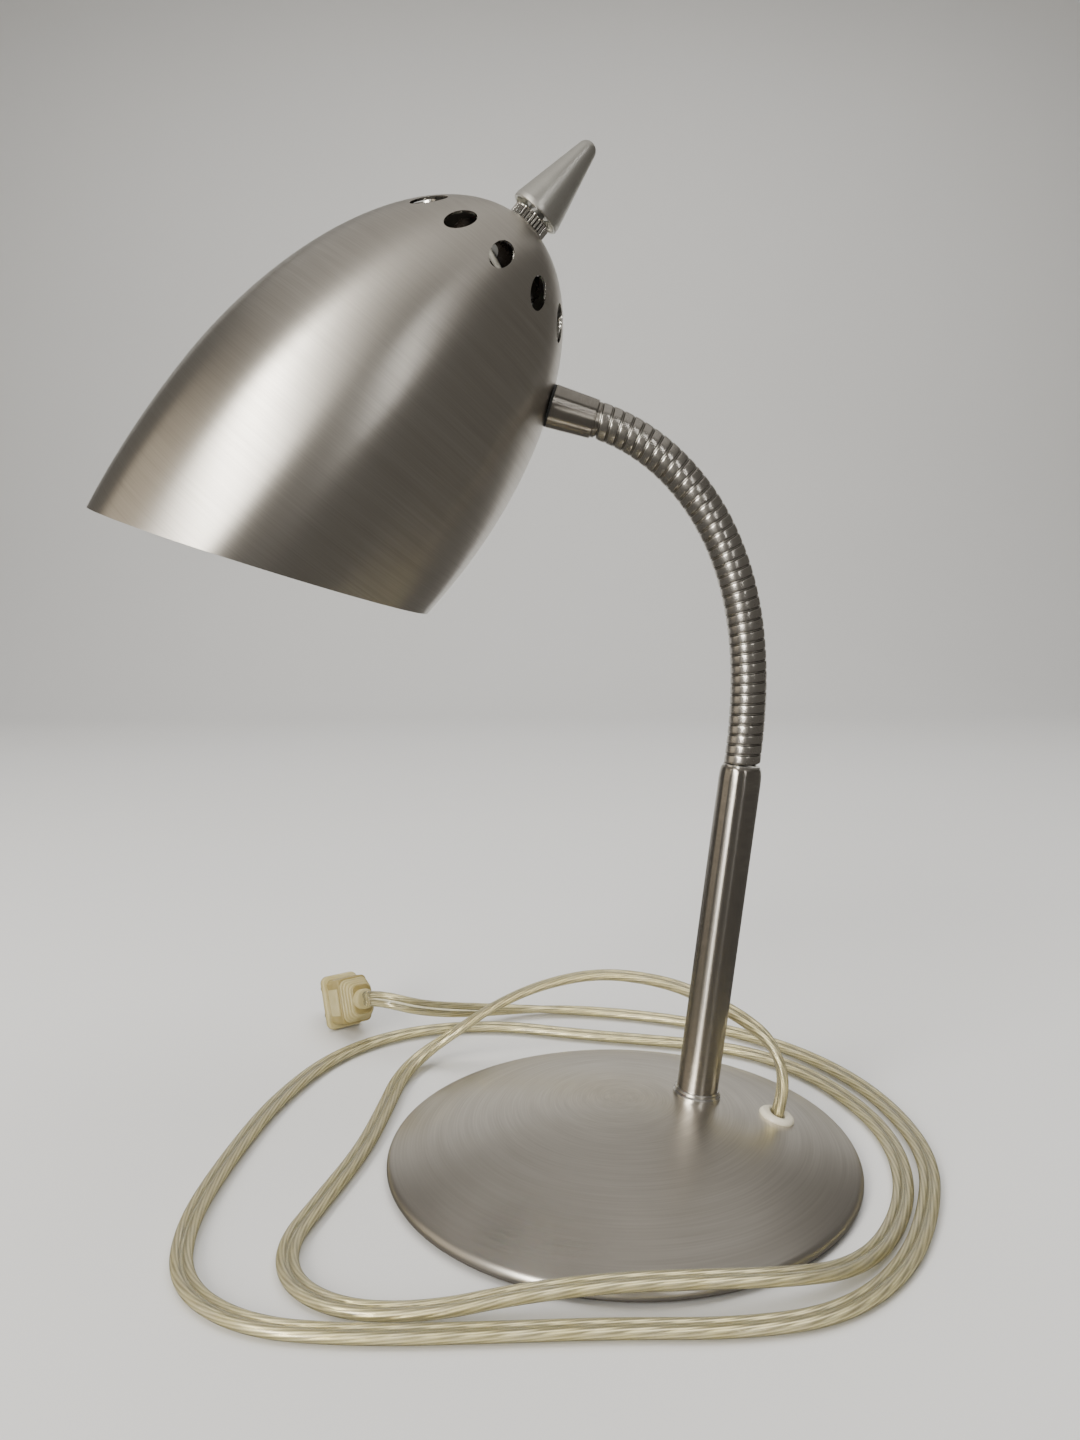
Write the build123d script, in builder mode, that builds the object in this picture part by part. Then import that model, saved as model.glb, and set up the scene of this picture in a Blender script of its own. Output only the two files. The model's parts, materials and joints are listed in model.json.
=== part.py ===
from build123d import *

import os
from math import acos, asin, atan, atan2, cos, degrees, hypot, pi, radians, sin, sqrt, tan

# Gooseneck desk lamp with a bullet shade.
#
# Millimetres, +Z up. The origin is the centre of the foot pad's underside. The stem, the neck and
# the shade all lie in one upright plane, X = NECK_X; the shade looks toward -Y and the knob points
# toward +Y. Every piece is a solid of its own.

os.makedirs("parts", exist_ok=True)

# ---------------------------------------------------------------- sizes
# Base
BASE_RADIUS = 85.0
SHELL_HEIGHT = 21.0  # from the shell's lower edge to the top of the dome
SHELL_WALL = 1.2
RIM_ROUND = 3.0  # outer radius of the rolled rim
RIM_STRAIGHT = 0.45  # upright part of the rim below the rounding
PAD_THICKNESS = 1.4
PAD_INSET = 3.0
COVER_THICKNESS = 0.8
COVER_INSET = 0.6
WEIGHT_TOP_GAP = 0.4
WEIGHT_SIDE_GAP = 1.0
WEIGHT_FLOOR = 6.5  # iron left between the shell and the nut's washer
COUNTERBORE_RADIUS = 13.0
CORD_CHANNEL_WIDTH = 9.0
CORD_CHANNEL_DEPTH = 6.0

# Stem
NECK_X = -6.0
STEM_FOOT_Y = 28.0
STEM_LEAN = 6.9  # degrees from upright, toward +Y
STEM_LENGTH = 122.8
STEM_RADIUS = 7.5
STEM_WALL = 1.2
STEM_TIP_RADIUS = 6.85
STEM_TIP_ROUND = 5.5  # length of the rounded tip
COLLAR_RADIUS = 8.7
COLLAR_STEP_RADIUS = 8.1
COLLAR_HEIGHT = 3.0
INSERT_LENGTH = 14.0
NIPPLE_RADIUS = 4.9
NIPPLE_BORE = 3.5
NIPPLE_TAIL = 1.2  # thread left showing past a nut
NUT_FLATS = 14.0
NUT_HEIGHT = 4.0
WASHER_RADIUS = 9.5
WASHER_THICKNESS = 1.2

# Cord grommet and plug
GROMMET_INSET = 28.6  # from the base's edge to the middle of the grommet
GROMMET_RADIUS = 6.5
GROMMET_RISE = 1.9
GROMMET_NECK_RADIUS = 4.75
GROMMET_FLANGE_RADIUS = 5.8
GROMMET_FLANGE = 1.4
CORD_RADIUS = 2.6
CORD_SQUEEZE = 0.1  # the grommet grips the cord by this much all round
CORD_TAIL = 7.0  # cord inside the base
PLUG_THICKNESS = 18.0
PLUG_HEIGHT = 25.0
PLUG_FLANGE = 3.6
PLUG_BODY = 13.6
PLUG_GRIP = 8.6
PLUG_GRIP_HEIGHT = 20.0
PLUG_NUB = 4.2
PLUG_NUB_RADIUS = 4.6
PLUG_PANEL = 0.6  # height of the raised panel on each side
PLUG_HEADING = 55.0  # degrees from +Y toward +X, from the face to the cord
PLUG_TILT = 18.5  # degrees, nose down, so that it rests on its flange and a blade
BLADE_SPACING = 12.7
BLADE_WIDTH = 6.3
BLADE_THICKNESS = 1.5
BLADE_LENGTH = 15.9
BLADE_ROOT = 9.0  # blade inside the plug

# Gooseneck
TURNS_PER_LINK = 3
LINK_COUNT = 13
PITCH = 3.61
BAND_RADIUS = 6.35
BAND_GAP = 0.95
BALL_RADIUS = 5.75
BALL_CLEARANCE = 0.09
BALL_DEPTH = 1.3
SOCKET_DEPTH = 2.3
NECK_BORE = 3.6
BEND_FIRST = 0.75  # degrees between the first two turns
BEND_TOTAL = 79.8  # degrees from the stem to the ferrule
NECK_RISE = 1.4  # from the stem's tip to the middle of the first ball
SOCKET_PLUG_LENGTH = 12.0
SOCKET_FLANGE_RADIUS = 6.6

# Ferrule
FERRULE_RING = 1.2
FERRULE_RING_RADIUS = 6.15
SLEEVE_LENGTH = 14.9
SLEEVE_SMALL_RADIUS = 6.7
SLEEVE_LARGE_RADIUS = 7.5
GASKET_THICKNESS = 1.2
GASKET_RADIUS = 7.6
FERRULE_THREAD_DEPTH = 9.0
FERRULE_WASHER_RADIUS = 8.5
FERRULE_WASHER_THICKNESS = 2.2

# Shade
SHADE_RADIUS = 57.6
SHADE_FRONT = 109.8  # from the apex to the widest ring
SHADE_BACK = 144.3  # second half-length, beyond the widest ring
SHADE_WALL = 0.9
SHADE_FLAT = 0.8  # depth of the flat that the ring nut sits on
SHADE_LENGTH = 146.0  # from the apex to the mouth, on the axis
MOUTH_SLANT = 22.2  # degrees
FERRULE_STATION = 40.1  # how far behind the apex the ferrule meets the shade
VENT_COUNT = 12
VENT_STATION = 19.0
VENT_LENGTH = 13.2
VENT_WIDTH = 7.4
VENT_PHASE = -12.0  # degrees round the axis

# Lampholder, along the shade's axis from the apex
SHAFT_RADIUS = 3.0
BUSHING_RADIUS = 5.0
BUSHING_LENGTH_INSIDE = 6.0
RING_NUT_RADIUS = 7.0
RING_NUT_HEIGHT = 4.2
HOUSING_SHOULDER_RADIUS = 11.0
HOUSING_SHOULDER = 4.6
HOUSING_CONE = 8.0
HOUSING_RADIUS = 18.0
HOUSING_WALL = 2.8
HOUSING_FLOOR = 8.0
SOCKET_LINING = 0.8
SOCKET_DEPTH_INSIDE = 26.0
SHELL_METAL = 0.4
BULB_BASE_RADIUS = 12.9
BULB_BASE_LENGTH = 23.0
BULB_RADIUS = 30.0
BULB_NECK_RADIUS = 13.6
BULB_GLOBE_LENGTH = 84.0
BULB_WALL = 1.0
CONTACT_RADIUS = 4.0
CONTACT_HEIGHT = 1.6
SCREW_HEAD_RADIUS = 3.0
SCREW_HEAD = 1.6
SCREW_SHANK_RADIUS = 1.4
SCREW_SHANK = 5.0
LEAD_RADIUS = 1.0

# Knob
KNOB_GAP = 1.1  # between the ring nut and the knob's edge
KNOB_LENGTH = 30.0
KNOB_RADIUS = 9.0
KNOB_TIP_RADIUS = 3.4
KNOB_SKIRT = 1.6  # short straight part above the knob's edge
KNOB_WALL = 1.1
KNOB_CAVITY = 9.0
KNOB_BOSS_RADIUS = 4.6
KNOB_BOSS_RECESS = 1.4
SHAFT_IN_KNOB = 14.0
SHAFT_IN_HOUSING = 5.0

# Clearances
SEAT = 0.05  # between fixed curved faces
RUNNING = 0.06  # round the turning shaft
HOLE_CLEARANCE = 0.3  # round a screw or nipple in a plain hole


# ---------------------------------------------------------------- places worked out from the sizes
def along(heading):
    """Unit vector in the neck plane, heading in degrees from +Y toward +Z."""
    return Vector(0, cos(radians(heading)), sin(radians(heading)))


def cross_plane(point, direction):
    """Plane square to direction at point, with local x along +X."""
    return Plane(origin=point, x_dir=(1, 0, 0), z_dir=direction)


def profile_plane(point, direction):
    """Plane for a half profile: local x is the radius, local y runs along direction."""
    return Plane(origin=point, x_dir=(1, 0, 0), z_dir=Vector(1, 0, 0).cross(direction))


COVER_Z = PAD_THICKNESS
SHELL_EDGE_Z = COVER_Z + COVER_THICKNESS
RIM_Z = SHELL_EDGE_Z + RIM_STRAIGHT
RIM_CENTRE = BASE_RADIUS - RIM_ROUND
DOME_TOP = SHELL_EDGE_Z + SHELL_HEIGHT
DOME_RISE = DOME_TOP - RIM_Z
DOME_RADIUS = (RIM_CENTRE**2 + DOME_RISE**2 - RIM_ROUND**2) / (2 * (DOME_RISE - RIM_ROUND))
DOME_CENTRE_Z = DOME_TOP - DOME_RADIUS
RIM_ANGLE = degrees(atan2(RIM_Z - DOME_CENTRE_Z, RIM_CENTRE))
WEIGHT_SPHERE = DOME_RADIUS - SHELL_WALL - WEIGHT_TOP_GAP
WEIGHT_RADIUS = RIM_CENTRE - WEIGHT_SIDE_GAP
WEIGHT_SIDE_ANGLE = degrees(acos(WEIGHT_RADIUS / WEIGHT_SPHERE))


def dome_point(x, y):
    """Point on the outer face of the dome."""
    return Vector(x, y, DOME_CENTRE_Z + sqrt(DOME_RADIUS**2 - x**2 - y**2))


STEM_DIRECTION = along(90 - STEM_LEAN)
STEM_FOOT = dome_point(NECK_X, STEM_FOOT_Y)
STEM_TIP = STEM_FOOT + STEM_DIRECTION * STEM_LENGTH
WASHER_DEPTH = SHELL_WALL + WEIGHT_TOP_GAP + WEIGHT_FLOOR
NUT_DEPTH = WASHER_DEPTH + WASHER_THICKNESS
NIPPLE_DEPTH = NUT_DEPTH + NUT_HEIGHT + NIPPLE_TAIL

GROMMET_Y = BASE_RADIUS - GROMMET_INSET
GROMMET_SEAT = dome_point(0, GROMMET_Y)
GROMMET_DIRECTION = (GROMMET_SEAT - Vector(0, 0, DOME_CENTRE_Z)).normalized()
CORD_HOLE_RADIUS = GROMMET_FLANGE_RADIUS + HOLE_CLEARANCE

# Neck: the middle of each joint between two turns, and the heading of each turn
TURN_COUNT = TURNS_PER_LINK * LINK_COUNT
BEND_GROWTH = (BEND_TOTAL - BEND_FIRST * TURN_COUNT) / (TURN_COUNT * (TURN_COUNT - 1) / 2)
neck_points = [STEM_TIP + STEM_DIRECTION * NECK_RISE]
neck_headings = [90 - STEM_LEAN]
for turn in range(TURN_COUNT):
    neck_points.append(neck_points[-1] + along(neck_headings[-1]) * PITCH)
    neck_headings.append(neck_headings[-1] + BEND_FIRST + BEND_GROWTH * turn)

# Ferrule and shade: the ferrule stands square on the shade's side
FERRULE_START = neck_points[-1]
FERRULE_HEADING = neck_headings[-1]
FERRULE_DIRECTION = along(FERRULE_HEADING)
SLEEVE_START = BAND_GAP / 2 + FERRULE_RING
GASKET_START = SLEEVE_START + SLEEVE_LENGTH
SHADE_CONTACT = GASKET_START + GASKET_THICKNESS


def shade_turn(station):
    """Angle round the shade's front ellipse, in radians, at a distance behind the apex."""
    return acos(1 - station / SHADE_FRONT)


def shade_radius(station):
    """Outer radius of the shade's front part at a distance behind the apex."""
    return SHADE_RADIUS * sin(shade_turn(station))


def shade_flare(station):
    """Angle, in degrees, between the shade's outline and its axis."""
    turn_angle = shade_turn(station)
    return degrees(atan(SHADE_RADIUS * cos(turn_angle) / (SHADE_FRONT * sin(turn_angle))))


SHADE_HEADING = FERRULE_HEADING - 90 - shade_flare(FERRULE_STATION)
APEXWARD = along(SHADE_HEADING)
SHADE_SIDE = along(SHADE_HEADING + 90)  # square to the axis, toward the longer side
MOUTHWARD = APEXWARD * -1
FERRULE_CONTACT_POINT = FERRULE_START + FERRULE_DIRECTION * SHADE_CONTACT
APEX = (
    FERRULE_CONTACT_POINT
    + APEXWARD * FERRULE_STATION
    + SHADE_SIDE * shade_radius(FERRULE_STATION)
)
SHADE_AXIS = Axis(APEX, MOUTHWARD)
SHADE_PROFILE = profile_plane(APEX, MOUTHWARD)


def shade_station(distance):
    """Plane square to the shade's axis, facing the mouth, at a distance behind the apex."""
    return cross_plane(APEX + MOUTHWARD * distance, MOUTHWARD)


BUSHING_TOP = SHADE_FLAT - RING_NUT_HEIGHT + SEAT
HOUSING_TOP = SHADE_FLAT + SHADE_WALL
HOUSING_CONE_END = HOUSING_TOP + HOUSING_SHOULDER + HOUSING_CONE
HOUSING_FLOOR_END = HOUSING_CONE_END + HOUSING_FLOOR
HOUSING_END = HOUSING_FLOOR_END + SOCKET_DEPTH_INSIDE
CAVITY_RADIUS = HOUSING_RADIUS - HOUSING_WALL
LINING_RADIUS = CAVITY_RADIUS - SEAT
SOCKET_SHELL_RADIUS = LINING_RADIUS - SOCKET_LINING - SEAT
BULB_BASE_START = HOUSING_FLOOR_END + CONTACT_HEIGHT
BULB_BASE_END = BULB_BASE_START + BULB_BASE_LENGTH
SCREW_STATION = HOUSING_CONE_END + SCREW_HEAD_RADIUS + 1
KNOB_EDGE = SHADE_FLAT - RING_NUT_HEIGHT - KNOB_GAP
KNOB_TIP = KNOB_EDGE - KNOB_LENGTH
SHAFT_TOP = KNOB_EDGE - SHAFT_IN_KNOB
SHAFT_END = HOUSING_TOP + SHAFT_IN_HOUSING


# ---------------------------------------------------------------- base
with BuildPart() as base_shell:
    with BuildSketch(Plane.XZ):
        with BuildLine():
            CenterArc((0, DOME_CENTRE_Z), DOME_RADIUS, RIM_ANGLE, 90 - RIM_ANGLE)
            CenterArc((RIM_CENTRE, RIM_Z), RIM_ROUND, 0, RIM_ANGLE)
            Polyline(
                (BASE_RADIUS, RIM_Z),
                (BASE_RADIUS, SHELL_EDGE_Z),
                (BASE_RADIUS - SHELL_WALL, SHELL_EDGE_Z),
                (BASE_RADIUS - SHELL_WALL, RIM_Z),
            )
            CenterArc((RIM_CENTRE, RIM_Z), RIM_ROUND - SHELL_WALL, 0, RIM_ANGLE)
            CenterArc((0, DOME_CENTRE_Z), DOME_RADIUS - SHELL_WALL, RIM_ANGLE, 90 - RIM_ANGLE)
            Line((0, DOME_TOP), (0, DOME_TOP - SHELL_WALL))
        make_face()
    revolve(axis=Axis.Z)
    with BuildSketch(cross_plane(STEM_FOOT, STEM_DIRECTION)):
        Circle(NIPPLE_RADIUS + HOLE_CLEARANCE)
    extrude(amount=3 * SHELL_WALL, both=True, mode=Mode.SUBTRACT)
    with BuildSketch(cross_plane(GROMMET_SEAT, GROMMET_DIRECTION)):
        Circle(GROMMET_NECK_RADIUS + SEAT)
    extrude(amount=3 * SHELL_WALL, both=True, mode=Mode.SUBTRACT)
base_shell.part.label = "base_shell"
export_step(base_shell.part, "parts/base_shell.step")

with BuildPart() as base_weight:
    with BuildSketch(Plane.XZ):
        with BuildLine():
            weight_arc = CenterArc(
                (0, DOME_CENTRE_Z), WEIGHT_SPHERE, WEIGHT_SIDE_ANGLE, 90 - WEIGHT_SIDE_ANGLE
            )
            Polyline(
                weight_arc @ 0,
                (WEIGHT_RADIUS, SHELL_EDGE_Z),
                (0, SHELL_EDGE_Z),
                weight_arc @ 1,
            )
        make_face()
    revolve(axis=Axis.Z)
    with BuildSketch(cross_plane(STEM_FOOT, STEM_DIRECTION)):
        Circle(NIPPLE_RADIUS + HOLE_CLEARANCE)
    extrude(amount=DOME_TOP, both=True, mode=Mode.SUBTRACT)
    with BuildSketch(cross_plane(STEM_FOOT - STEM_DIRECTION * WASHER_DEPTH, STEM_DIRECTION)):
        Circle(COUNTERBORE_RADIUS)
    extrude(amount=-DOME_TOP, mode=Mode.SUBTRACT)
    with BuildSketch(cross_plane(GROMMET_SEAT, GROMMET_DIRECTION)):
        Circle(CORD_HOLE_RADIUS)
    extrude(amount=DOME_TOP, both=True, mode=Mode.SUBTRACT)
    with BuildSketch(Plane.XY.offset(SHELL_EDGE_Z)):
        with Locations((NECK_X / 2, (STEM_FOOT_Y + GROMMET_Y) / 2)):
            SlotCenterToCenter(GROMMET_Y - STEM_FOOT_Y, CORD_CHANNEL_WIDTH, rotation=90)
    extrude(amount=CORD_CHANNEL_DEPTH, mode=Mode.SUBTRACT)
base_weight.part.label = "base_weight"
export_step(base_weight.part, "parts/base_weight.step")

with BuildPart() as bottom_cover:
    with BuildSketch(Plane.XY.offset(COVER_Z)):
        Circle(BASE_RADIUS - COVER_INSET)
    extrude(amount=COVER_THICKNESS)
bottom_cover.part.label = "bottom_cover"
export_step(bottom_cover.part, "parts/bottom_cover.step")

with BuildPart() as foot_pad:
    with BuildSketch():
        Circle(BASE_RADIUS - PAD_INSET)
    extrude(amount=PAD_THICKNESS)
foot_pad.part.label = "foot_pad"
export_step(foot_pad.part, "parts/foot_pad.step")


# ---------------------------------------------------------------- stem
# Everything here is turned about the stem's axis; local y is the height above the stem's foot.
STEM_AXIS = Axis(STEM_FOOT, STEM_DIRECTION)
STEM_PROFILE = profile_plane(STEM_FOOT, STEM_DIRECTION)
STEM_INNER_RADIUS = STEM_RADIUS - STEM_WALL
FOOT_OVERLAP = 1.0  # turned past the dome, then trimmed to its curve


def trim_to_dome(clearance):
    """Cut the part in hand to the dome's outer face, less a clearance."""
    with Locations((0, 0, DOME_CENTRE_Z)):
        Sphere(DOME_RADIUS + clearance, mode=Mode.SUBTRACT)


with BuildPart() as stem_tube:
    with BuildSketch(STEM_PROFILE):
        with BuildLine():
            tip = EllipticalCenterArc(
                (STEM_TIP_RADIUS, STEM_LENGTH - STEM_TIP_ROUND),
                STEM_RADIUS - STEM_TIP_RADIUS,
                STEM_TIP_ROUND,
                start_angle=0,
                arc_size=90,
            )
            Polyline(
                tip @ 1,
                (STEM_INNER_RADIUS, STEM_LENGTH),
                (STEM_INNER_RADIUS, -FOOT_OVERLAP),
                (STEM_RADIUS, -FOOT_OVERLAP),
                tip @ 0,
            )
        make_face()
    revolve(axis=STEM_AXIS)
    trim_to_dome(SEAT)
stem_tube.part.label = "stem_tube"
export_step(stem_tube.part, "parts/stem_tube.step")

with BuildPart() as stem_collar:
    with BuildSketch(STEM_PROFILE):
        with BuildLine():
            Polyline(
                (STEM_RADIUS + SEAT, -FOOT_OVERLAP),
                (COLLAR_RADIUS, -FOOT_OVERLAP),
                (COLLAR_RADIUS, COLLAR_HEIGHT / 2),
                (COLLAR_STEP_RADIUS, COLLAR_HEIGHT * 0.6),
                (COLLAR_STEP_RADIUS, COLLAR_HEIGHT),
                (STEM_RADIUS + SEAT, COLLAR_HEIGHT),
                close=True,
            )
        make_face()
    revolve(axis=STEM_AXIS)
    trim_to_dome(SEAT)
stem_collar.part.label = "stem_collar"
export_step(stem_collar.part, "parts/stem_collar.step")

with BuildPart() as stem_insert:
    with BuildSketch(cross_plane(STEM_FOOT - STEM_DIRECTION * FOOT_OVERLAP, STEM_DIRECTION)):
        Circle(STEM_INNER_RADIUS - SEAT)
        Circle(NIPPLE_RADIUS + SEAT, mode=Mode.SUBTRACT)
    extrude(amount=INSERT_LENGTH + FOOT_OVERLAP)
    trim_to_dome(SEAT)
stem_insert.part.label = "stem_insert"
export_step(stem_insert.part, "parts/stem_insert.step")

with BuildPart() as base_nipple:
    with BuildSketch(cross_plane(STEM_FOOT - STEM_DIRECTION * NIPPLE_DEPTH, STEM_DIRECTION)):
        Circle(NIPPLE_RADIUS)
        Circle(NIPPLE_BORE, mode=Mode.SUBTRACT)
    extrude(amount=NIPPLE_DEPTH + INSERT_LENGTH - NIPPLE_TAIL)
base_nipple.part.label = "base_nipple"
export_step(base_nipple.part, "parts/base_nipple.step")

with BuildPart() as base_washer:
    with BuildSketch(cross_plane(STEM_FOOT - STEM_DIRECTION * WASHER_DEPTH, STEM_DIRECTION)):
        Circle(WASHER_RADIUS)
        Circle(NIPPLE_RADIUS + SEAT, mode=Mode.SUBTRACT)
    extrude(amount=-WASHER_THICKNESS)
base_washer.part.label = "base_washer"
export_step(base_washer.part, "parts/base_washer.step")

with BuildPart() as base_nut:
    with BuildSketch(cross_plane(STEM_FOOT - STEM_DIRECTION * NUT_DEPTH, STEM_DIRECTION)):
        RegularPolygon(NUT_FLATS / 2, 6, major_radius=False)
        Circle(NIPPLE_RADIUS + SEAT, mode=Mode.SUBTRACT)
    extrude(amount=-NUT_HEIGHT)
base_nut.part.label = "base_nut"
export_step(base_nut.part, "parts/base_nut.step")


# ---------------------------------------------------------------- cord, grommet and plug
with BuildPart() as cord_grommet:
    GROMMET_EDGE = 2 * SEAT  # height of the rim's lower face above the dome's tangent plane
    with BuildSketch(profile_plane(GROMMET_SEAT, GROMMET_DIRECTION)):
        with BuildLine():
            bulge = EllipticalCenterArc(
                (GROMMET_RADIUS - GROMMET_RISE, GROMMET_EDGE),
                GROMMET_RISE,
                GROMMET_RISE - GROMMET_EDGE,
                start_angle=0,
                arc_size=90,
            )
            Polyline(
                bulge @ 1,
                (CORD_RADIUS - CORD_SQUEEZE, GROMMET_RISE),
                (CORD_RADIUS - CORD_SQUEEZE, -SHELL_WALL - GROMMET_EDGE - GROMMET_FLANGE),
                (GROMMET_FLANGE_RADIUS, -SHELL_WALL - GROMMET_EDGE - GROMMET_FLANGE),
                (GROMMET_FLANGE_RADIUS, -SHELL_WALL - GROMMET_EDGE),
                (GROMMET_NECK_RADIUS, -SHELL_WALL - GROMMET_EDGE),
                (GROMMET_NECK_RADIUS, GROMMET_EDGE),
                bulge @ 0,
            )
        make_face()
    revolve(axis=Axis(GROMMET_SEAT, GROMMET_DIRECTION))
cord_grommet.part.label = "cord_grommet"
export_step(cord_grommet.part, "parts/cord_grommet.step")

FLOOR = 2.65  # height of the cord's middle where it lies on the table
RIM_REST = 10.2  # height of the cord's middle where it lies over the base's rim
PLUG_LENGTH = PLUG_FLANGE + PLUG_BODY + PLUG_GRIP + PLUG_NUB
PLUG_ACROSS = Vector(cos(radians(PLUG_HEADING)), -sin(radians(PLUG_HEADING)), 0)
PLUG_DIRECTION = Vector(
    sin(radians(PLUG_HEADING)) * cos(radians(PLUG_TILT)),
    cos(radians(PLUG_HEADING)) * cos(radians(PLUG_TILT)),
    sin(radians(PLUG_TILT)),
)
PLUG_FACE = Vector(-127.0, -125.6, PLUG_HEIGHT / 2 * cos(radians(PLUG_TILT)))
CORD_ENTRY = PLUG_FACE + PLUG_DIRECTION * PLUG_LENGTH

# Route of the cord, chosen point by point: out of the grommet, twice round the base, to the plug
cord_route = [
    GROMMET_SEAT - GROMMET_DIRECTION * CORD_TAIL,
    GROMMET_SEAT + GROMMET_DIRECTION * 7.0,
    Vector(-2.0, GROMMET_Y + 2.4, 32.5),
    Vector(-9.0, GROMMET_Y - 0.9, 40.5),
    Vector(-20.5, GROMMET_Y - 8.9, 44.5),
    Vector(-34.5, 36.5, 46.8),
    Vector(-50.0, 21.0, 48.5),
    Vector(-63.5, -4.0, 47.5),
    Vector(-73.0, -29.0, 39.0),
    Vector(-79.5, -50.0, 27.0),
    Vector(-82.5, -67.0, 14.0),
    Vector(-79.5, -81.5, 5.0),
    Vector(-62.0, -89.0, FLOOR),
    Vector(-36.0, -91.0, FLOOR),
    Vector(-2.0, -94.5, FLOOR),
    Vector(32.0, -103.0, FLOOR),
    Vector(57.0, -109.5, FLOOR),
    Vector(77.0, -103.5, FLOOR),
    Vector(89.0, -86.0, FLOOR),
    Vector(91.5, -61.0, FLOOR + 1.2),
    Vector(90.0, -36.0, FLOOR + 5.6),
    Vector(88.0, -8.0, RIM_REST),
    Vector(87.5, 18.0, RIM_REST + 0.4),
    Vector(84.5, 42.0, RIM_REST - 1.0),
    Vector(75.5, 62.0, FLOOR + 2.8),
    Vector(57.0, 79.5, FLOOR),
    Vector(28.0, 95.0, FLOOR),
    Vector(-6.0, 101.0, FLOOR),
    Vector(-39.0, 95.5, FLOOR),
    Vector(-69.0, 81.5, FLOOR),
    Vector(-90.5, 57.0, FLOOR),
    Vector(-99.0, 24.0, FLOOR),
    Vector(-107.0, -12.0, FLOOR),
    Vector(-118.5, -51.0, FLOOR),
    Vector(-112.0, -91.0, FLOOR),
    Vector(-86.0, -120.5, FLOOR),
    Vector(-43.0, -136.0, FLOOR),
    Vector(4.0, -142.5, FLOOR),
    Vector(46.0, -144.5, FLOOR),
    Vector(77.0, -136.5, FLOOR),
    Vector(95.5, -113.0, FLOOR),
    Vector(99.5, -80.0, FLOOR),
    Vector(98.5, -44.0, FLOOR),
    Vector(97.0, -9.0, FLOOR),
    Vector(97.5, 25.0, FLOOR),
    Vector(92.0, 55.0, FLOOR),
    Vector(72.5, 79.0, FLOOR),
    Vector(43.0, 97.0, FLOOR),
    Vector(8.0, 110.0, FLOOR),
    Vector(-30.0, 109.5, FLOOR),
    Vector(-66.0, 98.5, FLOOR),
    Vector(-97.0, 76.0, FLOOR),
    Vector(-121.0, 43.0, FLOOR),
    Vector(-134.0, 3.0, FLOOR),
    Vector(-137.5, -26.0, FLOOR + 0.3),
    Vector(-131.0, -48.0, FLOOR + 2.6),
    Vector(-119.5, -66.0, 9.6),
    Vector(-106.0, -77.5, 15.4),
    Vector(-93.5, -86.5, 21.6),
    CORD_ENTRY + PLUG_DIRECTION * 14.0,
    CORD_ENTRY,
]


def bend_radii(points):
    """Radius at each inner point: 0.45 of the shorter run over the tangent of half the turn."""
    radii = []
    for before, corner, after in zip(points, points[1:], points[2:]):
        run_in = corner - before
        run_out = after - corner
        half_turn = radians(run_in.get_angle(run_out)) / 2
        radii.append(0.45 * min(run_in.length, run_out.length) / tan(half_turn))
    return radii


cord_radii = bend_radii(cord_route)
print("cord bend radii", [round(radius) for radius in cord_radii])

with BuildPart() as supply_cord:
    with BuildLine():
        cord_line = FilletPolyline(*cord_route, radius=cord_radii)
    with BuildSketch(Plane(origin=cord_line @ 0, z_dir=cord_line % 0)):
        Circle(CORD_RADIUS)
    sweep(path=cord_line)
supply_cord.part.label = "supply_cord"
export_step(supply_cord.part, "parts/supply_cord.step")
cord_volume = pi * CORD_RADIUS**2 * cord_line.length
print("cord length", round(cord_line.length), "tube ratio", supply_cord.part.volume / cord_volume)

PLUG_PLANE = Plane(origin=PLUG_FACE, x_dir=PLUG_ACROSS, z_dir=PLUG_DIRECTION)  # local y runs down
with BuildPart() as plug_body:
    with BuildSketch(PLUG_PLANE):
        RectangleRounded(PLUG_THICKNESS, PLUG_HEIGHT, PLUG_THICKNESS * 0.36)
    extrude(amount=PLUG_FLANGE)
    with BuildSketch(PLUG_PLANE.offset(PLUG_FLANGE)):
        RectangleRounded(PLUG_THICKNESS - 2.4, PLUG_HEIGHT - 1.2, PLUG_THICKNESS * 0.3)
    extrude(amount=PLUG_BODY)
    with BuildSketch(PLUG_PLANE.offset(PLUG_FLANGE + PLUG_BODY)):
        RectangleRounded(PLUG_THICKNESS - 2.4, PLUG_HEIGHT - 1.2, PLUG_THICKNESS * 0.3)
    with BuildSketch(PLUG_PLANE.offset(PLUG_FLANGE + PLUG_BODY + PLUG_GRIP)):
        RectangleRounded(PLUG_THICKNESS - 5, PLUG_GRIP_HEIGHT * 0.7, PLUG_THICKNESS * 0.25)
    loft()
    with BuildSketch(PLUG_PLANE.offset(PLUG_FLANGE + PLUG_BODY + PLUG_GRIP)):
        Circle(PLUG_NUB_RADIUS)
    extrude(amount=PLUG_NUB)
    with BuildSketch(PLUG_PLANE.offset(PLUG_FLANGE + PLUG_BODY / 2)) as panel:
        Rectangle(PLUG_THICKNESS - 2.4 + 2 * PLUG_PANEL, PLUG_HEIGHT * 0.5)
    extrude(amount=PLUG_BODY * 0.36, both=True)
    for side in (-1, 1):
        with BuildSketch(PLUG_PLANE):
            with Locations((0, side * BLADE_SPACING / 2)):
                Rectangle(BLADE_WIDTH, BLADE_THICKNESS)
        extrude(amount=BLADE_ROOT, mode=Mode.SUBTRACT)
plug_body.part.label = "plug_body"
export_step(plug_body.part, "parts/plug_body.step")

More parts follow.
